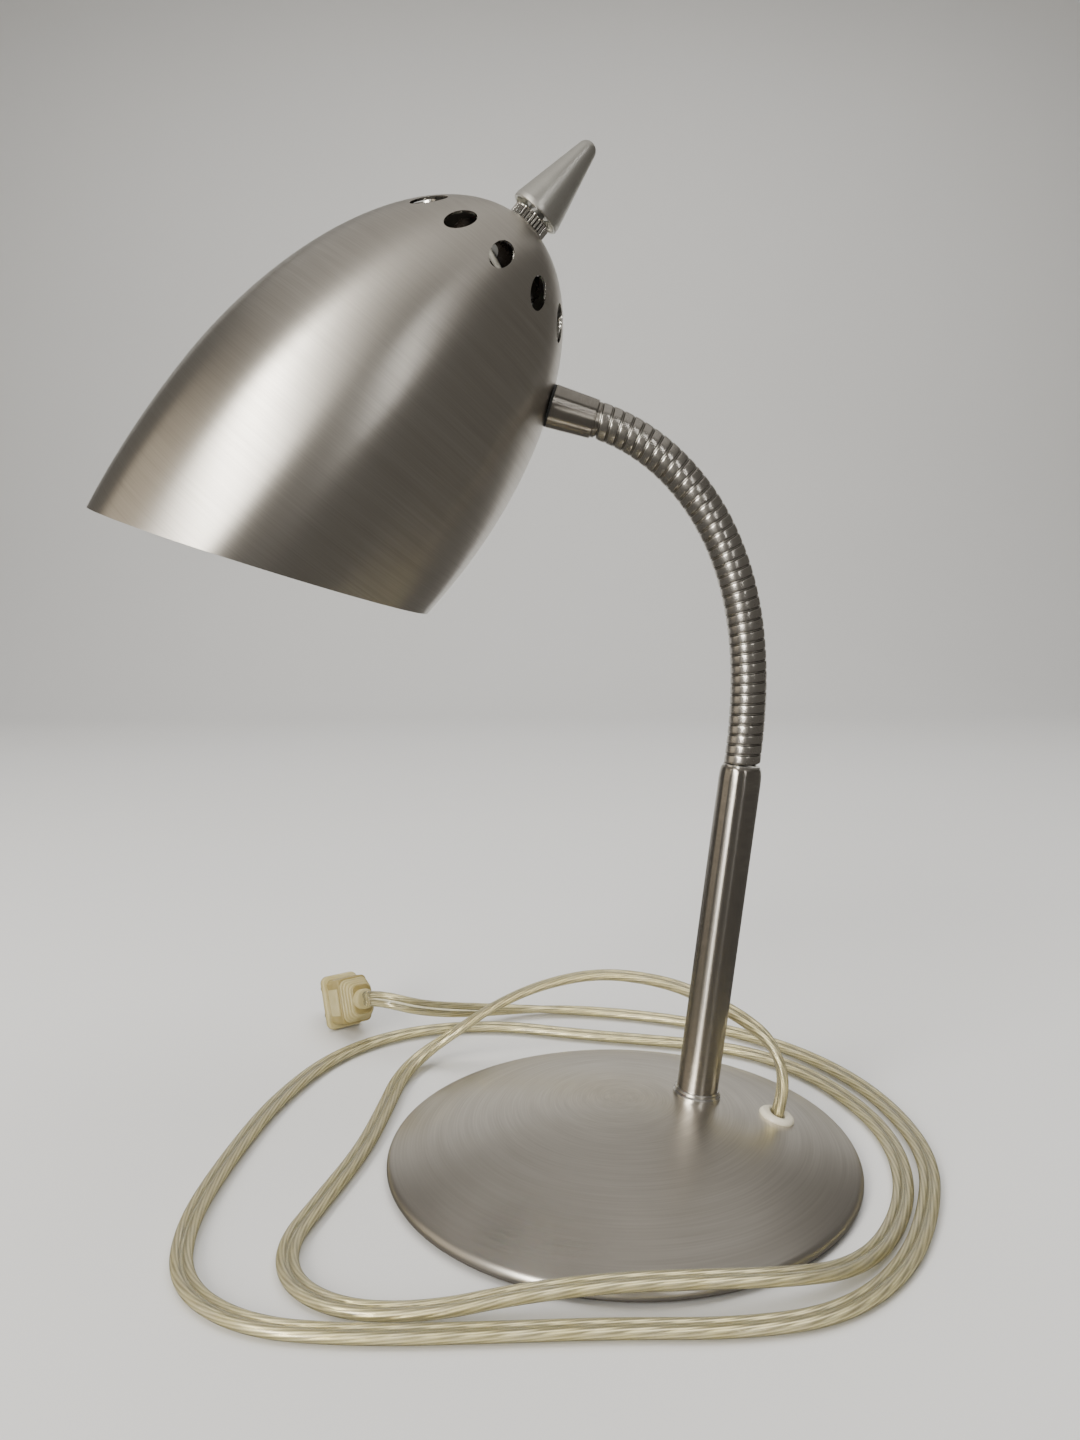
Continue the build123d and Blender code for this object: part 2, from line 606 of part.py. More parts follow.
for side, name in ((-1, "plug_blade_upper"), (1, "plug_blade_lower")):
    with BuildPart() as blade:
        with BuildSketch(PLUG_PLANE.offset(-BLADE_LENGTH)):
            with Locations((0, side * BLADE_SPACING / 2)):
                Rectangle(BLADE_WIDTH, BLADE_THICKNESS)
        extrude(amount=BLADE_LENGTH + BLADE_ROOT)
        tip_face = blade.faces().sort_by(Axis(PLUG_FACE, PLUG_DIRECTION))[0]
        tip_edges = tip_face.edges().filter_by(Axis(PLUG_FACE, PLUG_PLANE.y_dir))
        chamfer(tip_edges, BLADE_WIDTH * 0.2)
    blade.part.label = name
    export_step(blade.part, f"parts/{name}.step")


# ---------------------------------------------------------------- gooseneck
# Each link is three turns of the coil. Its lower end is a ball and its upper end a socket, both
# about the middle of a joint, so that neighbouring links roll on each other like the real turns.
SOCKET_RADIUS = BALL_RADIUS + BALL_CLEARANCE


def ball_end(joint, direction):
    """Solid of a ball end about a joint."""
    with BuildPart() as ball:
        with BuildSketch(profile_plane(joint, direction)):
            with BuildLine():
                low = sqrt(BALL_RADIUS**2 - BALL_DEPTH**2)
                high = sqrt(BALL_RADIUS**2 - (BAND_GAP / 2) ** 2)
                arc = ThreePointArc((low, -BALL_DEPTH), (BALL_RADIUS, 0), (high, BAND_GAP / 2))
                Polyline(arc @ 1, (0, BAND_GAP / 2), (0, -BALL_DEPTH), arc @ 0)
            make_face()
        revolve(axis=Axis(joint, direction))
    return ball.part


def socket_hollow(joint, direction):
    """Solid of the hollow that takes a ball, about a joint."""
    with BuildPart() as hollow:
        with BuildSketch(profile_plane(joint, direction)):
            with BuildLine():
                low = sqrt(SOCKET_RADIUS**2 - SOCKET_DEPTH**2)
                half = sqrt(SOCKET_RADIUS**2 - (SOCKET_DEPTH / 2) ** 2)
                arc = ThreePointArc(
                    (low, -SOCKET_DEPTH), (half, -SOCKET_DEPTH / 2), (SOCKET_RADIUS, 0)
                )
                Polyline(arc @ 1, (0, 0), (0, -SOCKET_DEPTH), arc @ 0)
            make_face()
        revolve(axis=Axis(joint, direction))
    return hollow.part


first_hollow = socket_hollow(neck_points[0], STEM_DIRECTION)
with BuildPart() as neck_socket:
    with BuildSketch(profile_plane(STEM_TIP, STEM_DIRECTION)):
        with BuildLine():
            Polyline(
                (0, -SOCKET_PLUG_LENGTH),
                (STEM_INNER_RADIUS - SEAT, -SOCKET_PLUG_LENGTH),
                (STEM_INNER_RADIUS - SEAT, 0),
                (SOCKET_FLANGE_RADIUS, 0),
                (SOCKET_FLANGE_RADIUS, NECK_RISE - BAND_GAP / 2),
                (0, NECK_RISE - BAND_GAP / 2),
                close=True,
            )
        make_face()
    revolve(axis=STEM_AXIS)
    add(first_hollow, mode=Mode.SUBTRACT)
    with BuildSketch(cross_plane(STEM_TIP, STEM_DIRECTION)):
        Circle(NECK_BORE)
    extrude(amount=SOCKET_PLUG_LENGTH, both=True, mode=Mode.SUBTRACT)
neck_socket.part.label = "neck_socket"
export_step(neck_socket.part, "parts/neck_socket.step")


def export_link(number, first_turn):
    """Build and write one link of the neck, of TURNS_PER_LINK turns."""
    last_turn = first_turn + TURNS_PER_LINK - 1
    start = neck_points[first_turn]
    end = neck_points[last_turn + 1]
    start_direction = along(neck_headings[first_turn])
    end_direction = along(neck_headings[last_turn])
    chord = (end - start).normalized()
    chord_length = (end - start).length
    ball = ball_end(start, start_direction)
    hollow = socket_hollow(end, end_direction)
    with BuildPart() as link:
        with BuildSketch(cross_plane(start + chord * BAND_GAP, chord)):
            Circle(BALL_RADIUS)
        extrude(amount=chord_length - 2 * BAND_GAP)
        for turn in range(first_turn, last_turn + 1):
            heading = along(neck_headings[turn])
            with BuildSketch(cross_plane(neck_points[turn] + heading * (BAND_GAP / 2), heading)):
                Circle(BAND_RADIUS)
            extrude(amount=PITCH - BAND_GAP)
        add(ball)
        add(hollow, mode=Mode.SUBTRACT)
        with BuildSketch(cross_plane(start - chord * PITCH, chord)):
            Circle(NECK_BORE)
        extrude(amount=chord_length + 2 * PITCH, mode=Mode.SUBTRACT)
    link.part.label = f"neck_link_{number:02d}"
    export_step(link.part, f"parts/neck_link_{number:02d}.step")


for link_index in range(LINK_COUNT):
    export_link(link_index + 1, link_index * TURNS_PER_LINK)


# ---------------------------------------------------------------- ferrule
# Turned about the ferrule's axis; local y is the distance from the neck's last joint.
FERRULE_AXIS = Axis(FERRULE_START, FERRULE_DIRECTION)
FERRULE_PROFILE = profile_plane(FERRULE_START, FERRULE_DIRECTION)


def ferrule_station(distance):
    """Plane square to the ferrule's axis at a distance from the neck's last joint."""
    return cross_plane(FERRULE_START + FERRULE_DIRECTION * distance, FERRULE_DIRECTION)


def flat_angle(half_length):
    """Angle, from the widest ring, at which an ellipse ends in the flat round the apex."""
    return -degrees(asin(1 - SHADE_FLAT / half_length))


def shade_curve(radius, half_length, first, last):
    """Part of an ellipse about the shade's widest ring, angles in degrees from that ring."""
    steps = 6
    angles = [radians(first + (last - first) * step / steps) for step in range(steps + 1)]
    points = [(radius * cos(a), SHADE_FRONT + half_length * sin(a)) for a in angles]
    tangents = [(-radius * sin(a), half_length * cos(a)) for a in (angles[0], angles[-1])]
    return Spline(*points, tangents=tangents)


def shade_form(growth):
    """Solid bounded by the shade's outer face grown by growth, as far as its widest ring."""
    with BuildPart() as form:
        with BuildSketch(SHADE_PROFILE):
            with BuildLine():
                half_length = SHADE_FRONT + growth
                front = shade_curve(SHADE_RADIUS + growth, half_length, flat_angle(half_length), 0)
                Polyline(front @ 1, (0, SHADE_FRONT), (0, SHADE_FLAT - growth), front @ 0)
            make_face()
        revolve(axis=SHADE_AXIS)
    return form.part


ferrule_ball = ball_end(FERRULE_START, FERRULE_DIRECTION)
with BuildPart() as head_ferrule:
    with BuildSketch(FERRULE_PROFILE):
        with BuildLine():
            Polyline(
                (0, BAND_GAP / 2),
                (FERRULE_RING_RADIUS, BAND_GAP / 2),
                (FERRULE_RING_RADIUS, SLEEVE_START),
                (SLEEVE_SMALL_RADIUS, SLEEVE_START),
                (SLEEVE_LARGE_RADIUS, GASKET_START),
                (0, GASKET_START),
                close=True,
            )
        make_face()
    revolve(axis=FERRULE_AXIS)
    add(ferrule_ball)
    with BuildSketch(ferrule_station(0)):
        Circle(NECK_BORE)
    extrude(amount=GASKET_START, both=True, mode=Mode.SUBTRACT)
    with BuildSketch(ferrule_station(GASKET_START)):
        Circle(NIPPLE_RADIUS + SEAT)
    extrude(amount=-FERRULE_THREAD_DEPTH, mode=Mode.SUBTRACT)
head_ferrule.part.label = "head_ferrule"
export_step(head_ferrule.part, "parts/head_ferrule.step")

WASHER_SEAT = SHADE_CONTACT + SHADE_WALL
FERRULE_NUT_SEAT = WASHER_SEAT + FERRULE_WASHER_THICKNESS
FERRULE_NIPPLE_END = FERRULE_NUT_SEAT + NUT_HEIGHT + NIPPLE_TAIL

outer_form = shade_form(SEAT)
with BuildPart() as ferrule_gasket:
    with BuildSketch(ferrule_station(GASKET_START)):
        Circle(GASKET_RADIUS)
        Circle(NIPPLE_RADIUS + SEAT, mode=Mode.SUBTRACT)
    extrude(amount=2 * GASKET_THICKNESS)
    add(outer_form, mode=Mode.SUBTRACT)
ferrule_gasket.part.label = "ferrule_gasket"
export_step(ferrule_gasket.part, "parts/ferrule_gasket.step")

with BuildPart() as ferrule_nipple:
    with BuildSketch(ferrule_station(GASKET_START - FERRULE_THREAD_DEPTH + SEAT)):
        Circle(NIPPLE_RADIUS)
        Circle(NIPPLE_BORE, mode=Mode.SUBTRACT)
    extrude(amount=FERRULE_NIPPLE_END - GASKET_START + FERRULE_THREAD_DEPTH - SEAT)
ferrule_nipple.part.label = "ferrule_nipple"
export_step(ferrule_nipple.part, "parts/ferrule_nipple.step")

inner_form = shade_form(-SHADE_WALL - SEAT)
with BuildPart() as ferrule_washer:
    with BuildSketch(ferrule_station(SHADE_CONTACT)):
        Circle(FERRULE_WASHER_RADIUS)
        Circle(NIPPLE_RADIUS + SEAT, mode=Mode.SUBTRACT)
    extrude(amount=FERRULE_NUT_SEAT - SHADE_CONTACT)
    add(inner_form, mode=Mode.INTERSECT)
ferrule_washer.part.label = "ferrule_washer"
export_step(ferrule_washer.part, "parts/ferrule_washer.step")

with BuildPart() as ferrule_nut:
    with BuildSketch(ferrule_station(FERRULE_NUT_SEAT)):
        RegularPolygon(NUT_FLATS / 2, 6, major_radius=False)
        Circle(NIPPLE_RADIUS + SEAT, mode=Mode.SUBTRACT)
    extrude(amount=NUT_HEIGHT)
ferrule_nut.part.label = "ferrule_nut"
export_step(ferrule_nut.part, "parts/ferrule_nut.step")


# ---------------------------------------------------------------- shade
REACH_BEYOND = SHADE_LENGTH - SHADE_FRONT + SHADE_RADIUS * tan(radians(MOUTH_SLANT)) + SHADE_WALL
INNER_RADIUS = SHADE_RADIUS - SHADE_WALL
INNER_FRONT = SHADE_FRONT - SHADE_WALL
INNER_BACK = SHADE_BACK - SHADE_WALL
INNER_FLAT_STATION = SHADE_FLAT + SHADE_WALL

with BuildPart() as shade:
    with BuildSketch(SHADE_PROFILE):
        with BuildLine():
            back_angle = degrees(asin(REACH_BEYOND / SHADE_BACK))
            inner_back_angle = degrees(asin(REACH_BEYOND / INNER_BACK))
            outer_front = shade_curve(SHADE_RADIUS, SHADE_FRONT, flat_angle(SHADE_FRONT), 0)
            outer_back = shade_curve(SHADE_RADIUS, SHADE_BACK, 0, back_angle)
            inner_front = shade_curve(INNER_RADIUS, INNER_FRONT, flat_angle(INNER_FRONT), 0)
            inner_back = shade_curve(INNER_RADIUS, INNER_BACK, 0, inner_back_angle)
            Line(outer_back @ 1, inner_back @ 1)
            Polyline(
                outer_front @ 0,
                (BUSHING_RADIUS + HOLE_CLEARANCE, SHADE_FLAT),
                (BUSHING_RADIUS + HOLE_CLEARANCE, INNER_FLAT_STATION),
                inner_front @ 0,
            )
        make_face()
    revolve(axis=SHADE_AXIS)
    mouth_normal = MOUTHWARD * cos(radians(MOUTH_SLANT)) - SHADE_SIDE * sin(radians(MOUTH_SLANT))
    split(bisect_by=cross_plane(APEX + MOUTHWARD * SHADE_LENGTH, mouth_normal), keep=Keep.BOTTOM)
    for vent in range(VENT_COUNT):
        around = radians(VENT_PHASE + vent * 360 / VENT_COUNT)
        outward = Vector(1, 0, 0) * cos(around) + SHADE_SIDE * sin(around)
        flare = radians(shade_flare(VENT_STATION))
        vent_normal = outward * cos(flare) + APEXWARD * sin(flare)
        vent_tangent = MOUTHWARD * cos(flare) + outward * sin(flare)
        vent_centre = APEX + MOUTHWARD * VENT_STATION + outward * shade_radius(VENT_STATION)
        with BuildSketch(Plane(origin=vent_centre, x_dir=vent_tangent, z_dir=vent_normal)):
            Ellipse(VENT_LENGTH / 2, VENT_WIDTH / 2)
        extrude(amount=3 * SHADE_WALL, both=True, mode=Mode.SUBTRACT)
    with BuildSketch(ferrule_station(SHADE_CONTACT)):
        Circle(NIPPLE_RADIUS + HOLE_CLEARANCE)
    extrude(amount=4 * SHADE_WALL, both=True, mode=Mode.SUBTRACT)
shade.part.label = "shade"
export_step(shade.part, "parts/shade.step")


# ---------------------------------------------------------------- lampholder
with BuildPart() as ring_nut:
    with BuildSketch(shade_station(SHADE_FLAT)):
        Circle(RING_NUT_RADIUS)
        Circle(BUSHING_RADIUS + SEAT, mode=Mode.SUBTRACT)
    extrude(amount=-RING_NUT_HEIGHT)
ring_nut.part.label = "ring_nut"
export_step(ring_nut.part, "parts/ring_nut.step")

with BuildPart() as switch_bushing:
    with BuildSketch(shade_station(BUSHING_TOP)):
        Circle(BUSHING_RADIUS)
        Circle(SHAFT_RADIUS + RUNNING, mode=Mode.SUBTRACT)
    extrude(amount=HOUSING_TOP + BUSHING_LENGTH_INSIDE - BUSHING_TOP)
switch_bushing.part.label = "switch_bushing"
export_step(switch_bushing.part, "parts/switch_bushing.step")

with BuildPart() as switch_housing:
    with BuildSketch(SHADE_PROFILE):
        with BuildLine():
            Polyline(
                (0, HOUSING_TOP),
                (HOUSING_SHOULDER_RADIUS - HOUSING_SHOULDER, HOUSING_TOP),
                (HOUSING_SHOULDER_RADIUS, HOUSING_TOP + HOUSING_SHOULDER),
                (HOUSING_RADIUS, HOUSING_CONE_END),
                (HOUSING_RADIUS, HOUSING_END),
                (CAVITY_RADIUS, HOUSING_END),
                (CAVITY_RADIUS, HOUSING_FLOOR_END),
                (0, HOUSING_FLOOR_END),
                close=True,
            )
        make_face()
    revolve(axis=SHADE_AXIS)
    with BuildSketch(shade_station(HOUSING_TOP)):
        Circle(BUSHING_RADIUS + SEAT)
    extrude(amount=BUSHING_LENGTH_INSIDE, mode=Mode.SUBTRACT)
    for side in (-1, 1):
        outside = Plane(
            origin=APEX + MOUTHWARD * SCREW_STATION + Vector(side * HOUSING_RADIUS, 0, 0),
            z_dir=(side, 0, 0),
        )
        with BuildSketch(outside):
            Circle(SCREW_HEAD_RADIUS + HOLE_CLEARANCE)
        extrude(amount=-SCREW_HEAD, mode=Mode.SUBTRACT)
        with BuildSketch(outside):
            Circle(SCREW_SHANK_RADIUS + SEAT)
        extrude(amount=-SCREW_HEAD - SCREW_SHANK, mode=Mode.SUBTRACT)
switch_housing.part.label = "switch_housing"
export_step(switch_housing.part, "parts/switch_housing.step")

for side, name in ((1, "terminal_screw_front"), (-1, "terminal_screw_back")):
    with BuildPart() as screw:
        seat = Plane(
            origin=APEX + MOUTHWARD * SCREW_STATION + Vector(side * (HOUSING_RADIUS - SCREW_HEAD), 0, 0),
            z_dir=(side, 0, 0),
        )
        with BuildSketch(seat):
            Circle(SCREW_HEAD_RADIUS)
        extrude(amount=SCREW_HEAD)
        with BuildSketch(seat):
            Circle(SCREW_SHANK_RADIUS)
        extrude(amount=-SCREW_SHANK)
    screw.part.label = name
    export_step(screw.part, f"parts/{name}.step")

for side, name in ((1, "lead_live"), (-1, "lead_neutral")):
    lead_offset = Vector(side * 1.2 * LEAD_RADIUS, 0, 0)
    terminal = APEX + MOUTHWARD * SCREW_STATION + Vector(side * (HOUSING_RADIUS + LEAD_RADIUS), 0, 0)
    lead_points = [
        FERRULE_START + FERRULE_DIRECTION * FERRULE_NUT_SEAT + lead_offset,
        FERRULE_START + FERRULE_DIRECTION * (FERRULE_NIPPLE_END + 6) + lead_offset,
        terminal - SHADE_SIDE * (HOUSING_RADIUS - 2) + MOUTHWARD * 6,
        terminal,
    ]
    with BuildPart() as lead:
        with BuildLine():
            lead_line = FilletPolyline(*lead_points, radius=3 * LEAD_RADIUS)
        with BuildSketch(Plane(origin=lead_line @ 0, z_dir=lead_line % 0)):
            Circle(LEAD_RADIUS)
        sweep(path=lead_line)
    lead.part.label = name
    export_step(lead.part, f"parts/{name}.step")

with BuildPart() as socket_insulator:
    with BuildSketch(shade_station(HOUSING_FLOOR_END)):
        Circle(LINING_RADIUS)
        Circle(LINING_RADIUS - SOCKET_LINING, mode=Mode.SUBTRACT)
    extrude(amount=SOCKET_DEPTH_INSIDE)
socket_insulator.part.label = "socket_insulator"
export_step(socket_insulator.part, "parts/socket_insulator.step")

with BuildPart() as socket_shell:
    with BuildSketch(shade_station(HOUSING_FLOOR_END)):
        Circle(SOCKET_SHELL_RADIUS)
        Circle(SOCKET_SHELL_RADIUS - SHELL_METAL, mode=Mode.SUBTRACT)
    extrude(amount=SOCKET_DEPTH_INSIDE)
socket_shell.part.label = "socket_shell"
export_step(socket_shell.part, "parts/socket_shell.step")

with BuildPart() as centre_contact:
    with BuildSketch(shade_station(HOUSING_FLOOR_END)):
        Circle(CONTACT_RADIUS)
    extrude(amount=CONTACT_HEIGHT)
centre_contact.part.label = "centre_contact"
export_step(centre_contact.part, "parts/centre_contact.step")

BULB_TIP_END = BULB_BASE_START + BULB_BASE_LENGTH * 0.2
with BuildPart() as bulb_base:
    with BuildSketch(SHADE_PROFILE):
        with BuildLine():
            Polyline(
                (0, BULB_BASE_START),
                (CONTACT_RADIUS, BULB_BASE_START),
                (BULB_BASE_RADIUS, BULB_TIP_END),
                (BULB_BASE_RADIUS, BULB_BASE_END),
                (BULB_BASE_RADIUS - SHELL_METAL, BULB_BASE_END),
                (BULB_BASE_RADIUS - SHELL_METAL, BULB_TIP_END + SHELL_METAL),
                (0, BULB_TIP_END + SHELL_METAL),
                close=True,
            )
        make_face()
    revolve(axis=SHADE_AXIS)
bulb_base.part.label = "bulb_base"
export_step(bulb_base.part, "parts/bulb_base.step")

GLOBE_CENTRE = BULB_BASE_END + BULB_GLOBE_LENGTH - BULB_RADIUS


def bulb_crown(inset):
    """Round end of the bulb's outline, inset from its outer face."""
    return CenterArc((0, GLOBE_CENTRE), BULB_RADIUS - inset, -20, 110)


def bulb_flank(inset, crown):
    """Outline from the bulb's neck to its round end."""
    neck = (BULB_NECK_RADIUS - inset, BULB_BASE_END)
    return Spline(neck, crown @ 0, tangents=[(0, 1), crown % 0])


with BuildPart() as bulb_globe:
    with BuildSketch(SHADE_PROFILE):
        with BuildLine():
            outer_crown = bulb_crown(0)
            inner_crown = bulb_crown(BULB_WALL)
            outer_flank = bulb_flank(0, outer_crown)
            inner_flank = bulb_flank(BULB_WALL, inner_crown)
            Line(outer_flank @ 0, inner_flank @ 0)
            Line(outer_crown @ 1, inner_crown @ 1)
        make_face()
    revolve(axis=SHADE_AXIS)
bulb_globe.part.label = "bulb_globe"
export_step(bulb_globe.part, "parts/bulb_globe.step")


# ---------------------------------------------------------------- knob
with BuildPart() as switch_shaft:
    with BuildSketch(shade_station(SHAFT_TOP)):
        Circle(SHAFT_RADIUS)
    extrude(amount=SHAFT_END - SHAFT_TOP)
switch_shaft.part.label = "switch_shaft"
export_step(switch_shaft.part, "parts/switch_shaft.step")

with BuildPart() as knob:
    nose_centre = KNOB_TIP + KNOB_TIP_RADIUS
    skirt_end = KNOB_EDGE - KNOB_SKIRT
    reach = hypot(KNOB_RADIUS, skirt_end - nose_centre)
    nose_angle = 90 - degrees(acos(KNOB_TIP_RADIUS / reach) + atan2(KNOB_RADIUS, skirt_end - nose_centre))
    with BuildSketch(SHADE_PROFILE):
        with BuildLine():
            nose = CenterArc((0, nose_centre), KNOB_TIP_RADIUS, -90, 90 + nose_angle)
            Polyline(
                nose @ 1,
                (KNOB_RADIUS, skirt_end),
                (KNOB_RADIUS, KNOB_EDGE),
                (KNOB_RADIUS - KNOB_WALL, KNOB_EDGE),
                (KNOB_RADIUS - 2 * KNOB_WALL, KNOB_EDGE - KNOB_CAVITY),
                (KNOB_BOSS_RADIUS, KNOB_EDGE - KNOB_CAVITY),
                (KNOB_BOSS_RADIUS, KNOB_EDGE - KNOB_BOSS_RECESS),
                (0, KNOB_EDGE - KNOB_BOSS_RECESS),
                nose @ 0,
            )
        make_face()
    revolve(axis=SHADE_AXIS)
    with BuildSketch(shade_station(KNOB_EDGE)):
        Circle(SHAFT_RADIUS + SEAT)
    extrude(amount=-SHAFT_IN_KNOB, mode=Mode.SUBTRACT)
knob.part.label = "knob"
export_step(knob.part, "parts/knob.step")
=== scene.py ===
"""Gooseneck desk lamp with a vented bullet shade, dressed for rendering.

Metres, +Z up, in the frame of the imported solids: the origin is under the middle of the base, the
shade looks toward -Y and the front is +X. Sizes in the classes are millimetres.
"""

from __future__ import annotations

import json
import logging
import math
from collections.abc import Callable
from dataclasses import dataclass, field
from enum import Enum

import bmesh
import bpy
from mathutils import Matrix, Vector

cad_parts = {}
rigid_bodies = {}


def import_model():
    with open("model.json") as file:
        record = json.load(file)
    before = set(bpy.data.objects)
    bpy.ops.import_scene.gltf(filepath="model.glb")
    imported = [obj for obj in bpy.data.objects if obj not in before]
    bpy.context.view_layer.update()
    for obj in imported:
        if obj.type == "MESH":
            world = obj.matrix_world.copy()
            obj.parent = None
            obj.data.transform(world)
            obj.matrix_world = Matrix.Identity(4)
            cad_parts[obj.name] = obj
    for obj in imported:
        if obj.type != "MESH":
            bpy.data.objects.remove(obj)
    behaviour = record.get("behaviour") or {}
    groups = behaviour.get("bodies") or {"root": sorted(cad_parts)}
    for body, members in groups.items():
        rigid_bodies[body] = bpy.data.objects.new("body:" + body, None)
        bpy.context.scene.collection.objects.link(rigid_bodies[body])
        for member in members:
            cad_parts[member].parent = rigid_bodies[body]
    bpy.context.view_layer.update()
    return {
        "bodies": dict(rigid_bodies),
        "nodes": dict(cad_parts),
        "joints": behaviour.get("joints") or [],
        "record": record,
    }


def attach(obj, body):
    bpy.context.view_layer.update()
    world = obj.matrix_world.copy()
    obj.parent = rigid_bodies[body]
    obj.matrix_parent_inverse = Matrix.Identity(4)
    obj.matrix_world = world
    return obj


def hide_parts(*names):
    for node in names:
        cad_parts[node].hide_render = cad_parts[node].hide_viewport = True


MM = 0.001
TINY = 0.002  # radius, in millimetres, of a ring that is merged into a pole
MERGE = 5 * TINY * MM  # distance, in metres, within which doubles are merged
LOG = logging.getLogger("desk_lamp")

Station = tuple[float, float]  # radius and place along the axis, in millimetres
Colour = tuple[float, float, float, float]


# ------------------------------------------------------------------ places and plain geometry
@dataclass(frozen=True)
class Seat:
    """A point and direction that a turned piece is built on."""

    origin: Vector
    axis: Vector
    side: Vector = Vector((1.0, 0.0, 0.0))

    def matrix(self) -> Matrix:
        """Return the matrix from the piece's own frame, local Z along the axis."""
        z = self.axis.normalized()
        y = z.cross(self.side).normalized()
        x = y.cross(z)
        turn = Matrix((x, y, z)).transposed().to_4x4()
        return Matrix.Translation(self.origin) @ turn

    def at(self, distance: float) -> Seat:
        """Return the same seat moved along its axis by a distance in millimetres."""
        return Seat(self.origin + self.axis.normalized() * distance * MM, self.axis, self.side)


UPRIGHT = Seat(Vector(), Vector((0.0, 0.0, 1.0)))


def oval_arc(
    centre: Station, across: float, along: float, start: float, end: float, steps: int
) -> list[Station]:
    """Return stations on an arc of an ellipse.

    Args:
        centre: centre of the ellipse.
        across: half-width along the radius, in millimetres.
        along: half-length along the axis, in millimetres.
        start: first angle in degrees, from the outward radius toward the axis.
        end: last angle in degrees.
        steps: number of straight pieces.

    Returns:
        Stations from start to end.
    """
    angles = [math.radians(start + (end - start) * step / steps) for step in range(steps + 1)]
    return [
        (max(centre[0] + across * math.cos(angle), TINY), centre[1] + along * math.sin(angle))
        for angle in angles
    ]


def arc(centre: Station, radius: float, start: float, end: float, steps: int) -> list[Station]:
    """Return stations on a round arc, as oval_arc does with one radius."""
    return oval_arc(centre, radius, radius, start, end, steps)


def travelled(points: list[Vector]) -> list[float]:
    """Return the length along a line at each of its points."""
    lengths = [0.0]
    for here, there in zip(points, points[1:]):
        lengths.append(lengths[-1] + (there - here).length)
    return lengths


@dataclass
class LampPlan:
    """The lamp's main places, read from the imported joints.

    Attributes:
        joints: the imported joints.
        turns_per_link: turns of the coil in each link.
        pitch: length of one turn, in millimetres.
        bend_first: bend between the first two turns, in degrees.
        neck_points: places of the neck's joints.
        turn_points: places of the coil's turns.
        turn_headings: way the neck runs at each turn, in degrees from +Y toward +Z.
    """

    joints: list[dict]
    turns_per_link: int = 3
    pitch: float = 3.61
    bend_first: float = 0.75
    neck_points: list[Vector] = field(init=False)
    turn_points: list[Vector] = field(init=False)
    turn_headings: list[float] = field(init=False)

    def __post_init__(self) -> None:
        """Work out the neck's turns from the places of its joints."""
        neck = [joint for joint in self.joints if joint["name"].startswith("neck_")]
        neck.sort(key=lambda joint: int(joint["name"][-2:]))
        self.neck_points = [Vector(joint["pos_m"]) for joint in neck]
        number, sway = next((place, joint) for place, joint in enumerate(neck) if "sway" in joint["name"])
        axis = Vector(sway["axis"])
        at_sway = math.degrees(math.atan2(axis.y, -axis.z))
        before = self.turns_per_link * number
        growth = self._growth(at_sway, before)
        self.turn_points = [self.neck_points[0].copy()]
        self.turn_headings = [at_sway - self.bend_first * before - growth * before * (before - 1) / 2]
        for turn in range(self.turns_per_link * (len(neck) - 1)):
            heading = self.turn_headings[-1]
            self.turn_points.append(self.turn_points[-1] + self.along(heading) * self.pitch * MM)
            self.turn_headings.append(heading + self.bend_first + growth * turn)

    def _growth(self, at_sway: float, before: int) -> float:
        """Return how much more each turn bends than the last, in degrees.

        Args:
            at_sway: heading at the first sway joint, in degrees.
            before: turns below that joint.

        Returns:
            The growth of the bend for each turn.
        """
        chord = self.neck_points[1] - self.neck_points[0]
        chord_heading = math.degrees(math.atan2(chord.z, chord.y))
        rise = at_sway - chord_heading - self.bend_first * (before - 1)
        return rise / (before * (before - 1) / 2 - 1 / 3)

    @staticmethod
    def along(heading: float) -> Vector:
        """Return the unit vector in the neck's plane, degrees from +Y toward +Z."""
        angle = math.radians(heading)
        return Vector((0.0, math.cos(angle), math.sin(angle)))

    def stem_seat(self) -> Seat:
        """Return the seat at the middle of the first joint, looking up the stem."""
        return Seat(self.turn_points[0], self.along(self.turn_headings[0]))

    def ferrule_seat(self) -> Seat:
        """Return the seat at the neck's last joint, looking into the shade."""
        return Seat(self.neck_points[-1], self.along(self.turn_headings[-1]))

    def shade_seat(self) -> Seat:
        """Return the seat at the shade's apex, looking out of its mouth."""
        turn = next(joint for joint in self.joints if joint["name"] == "switch_turn")
        return Seat(Vector(turn["pos_m"]), -Vector(turn["axis"]))


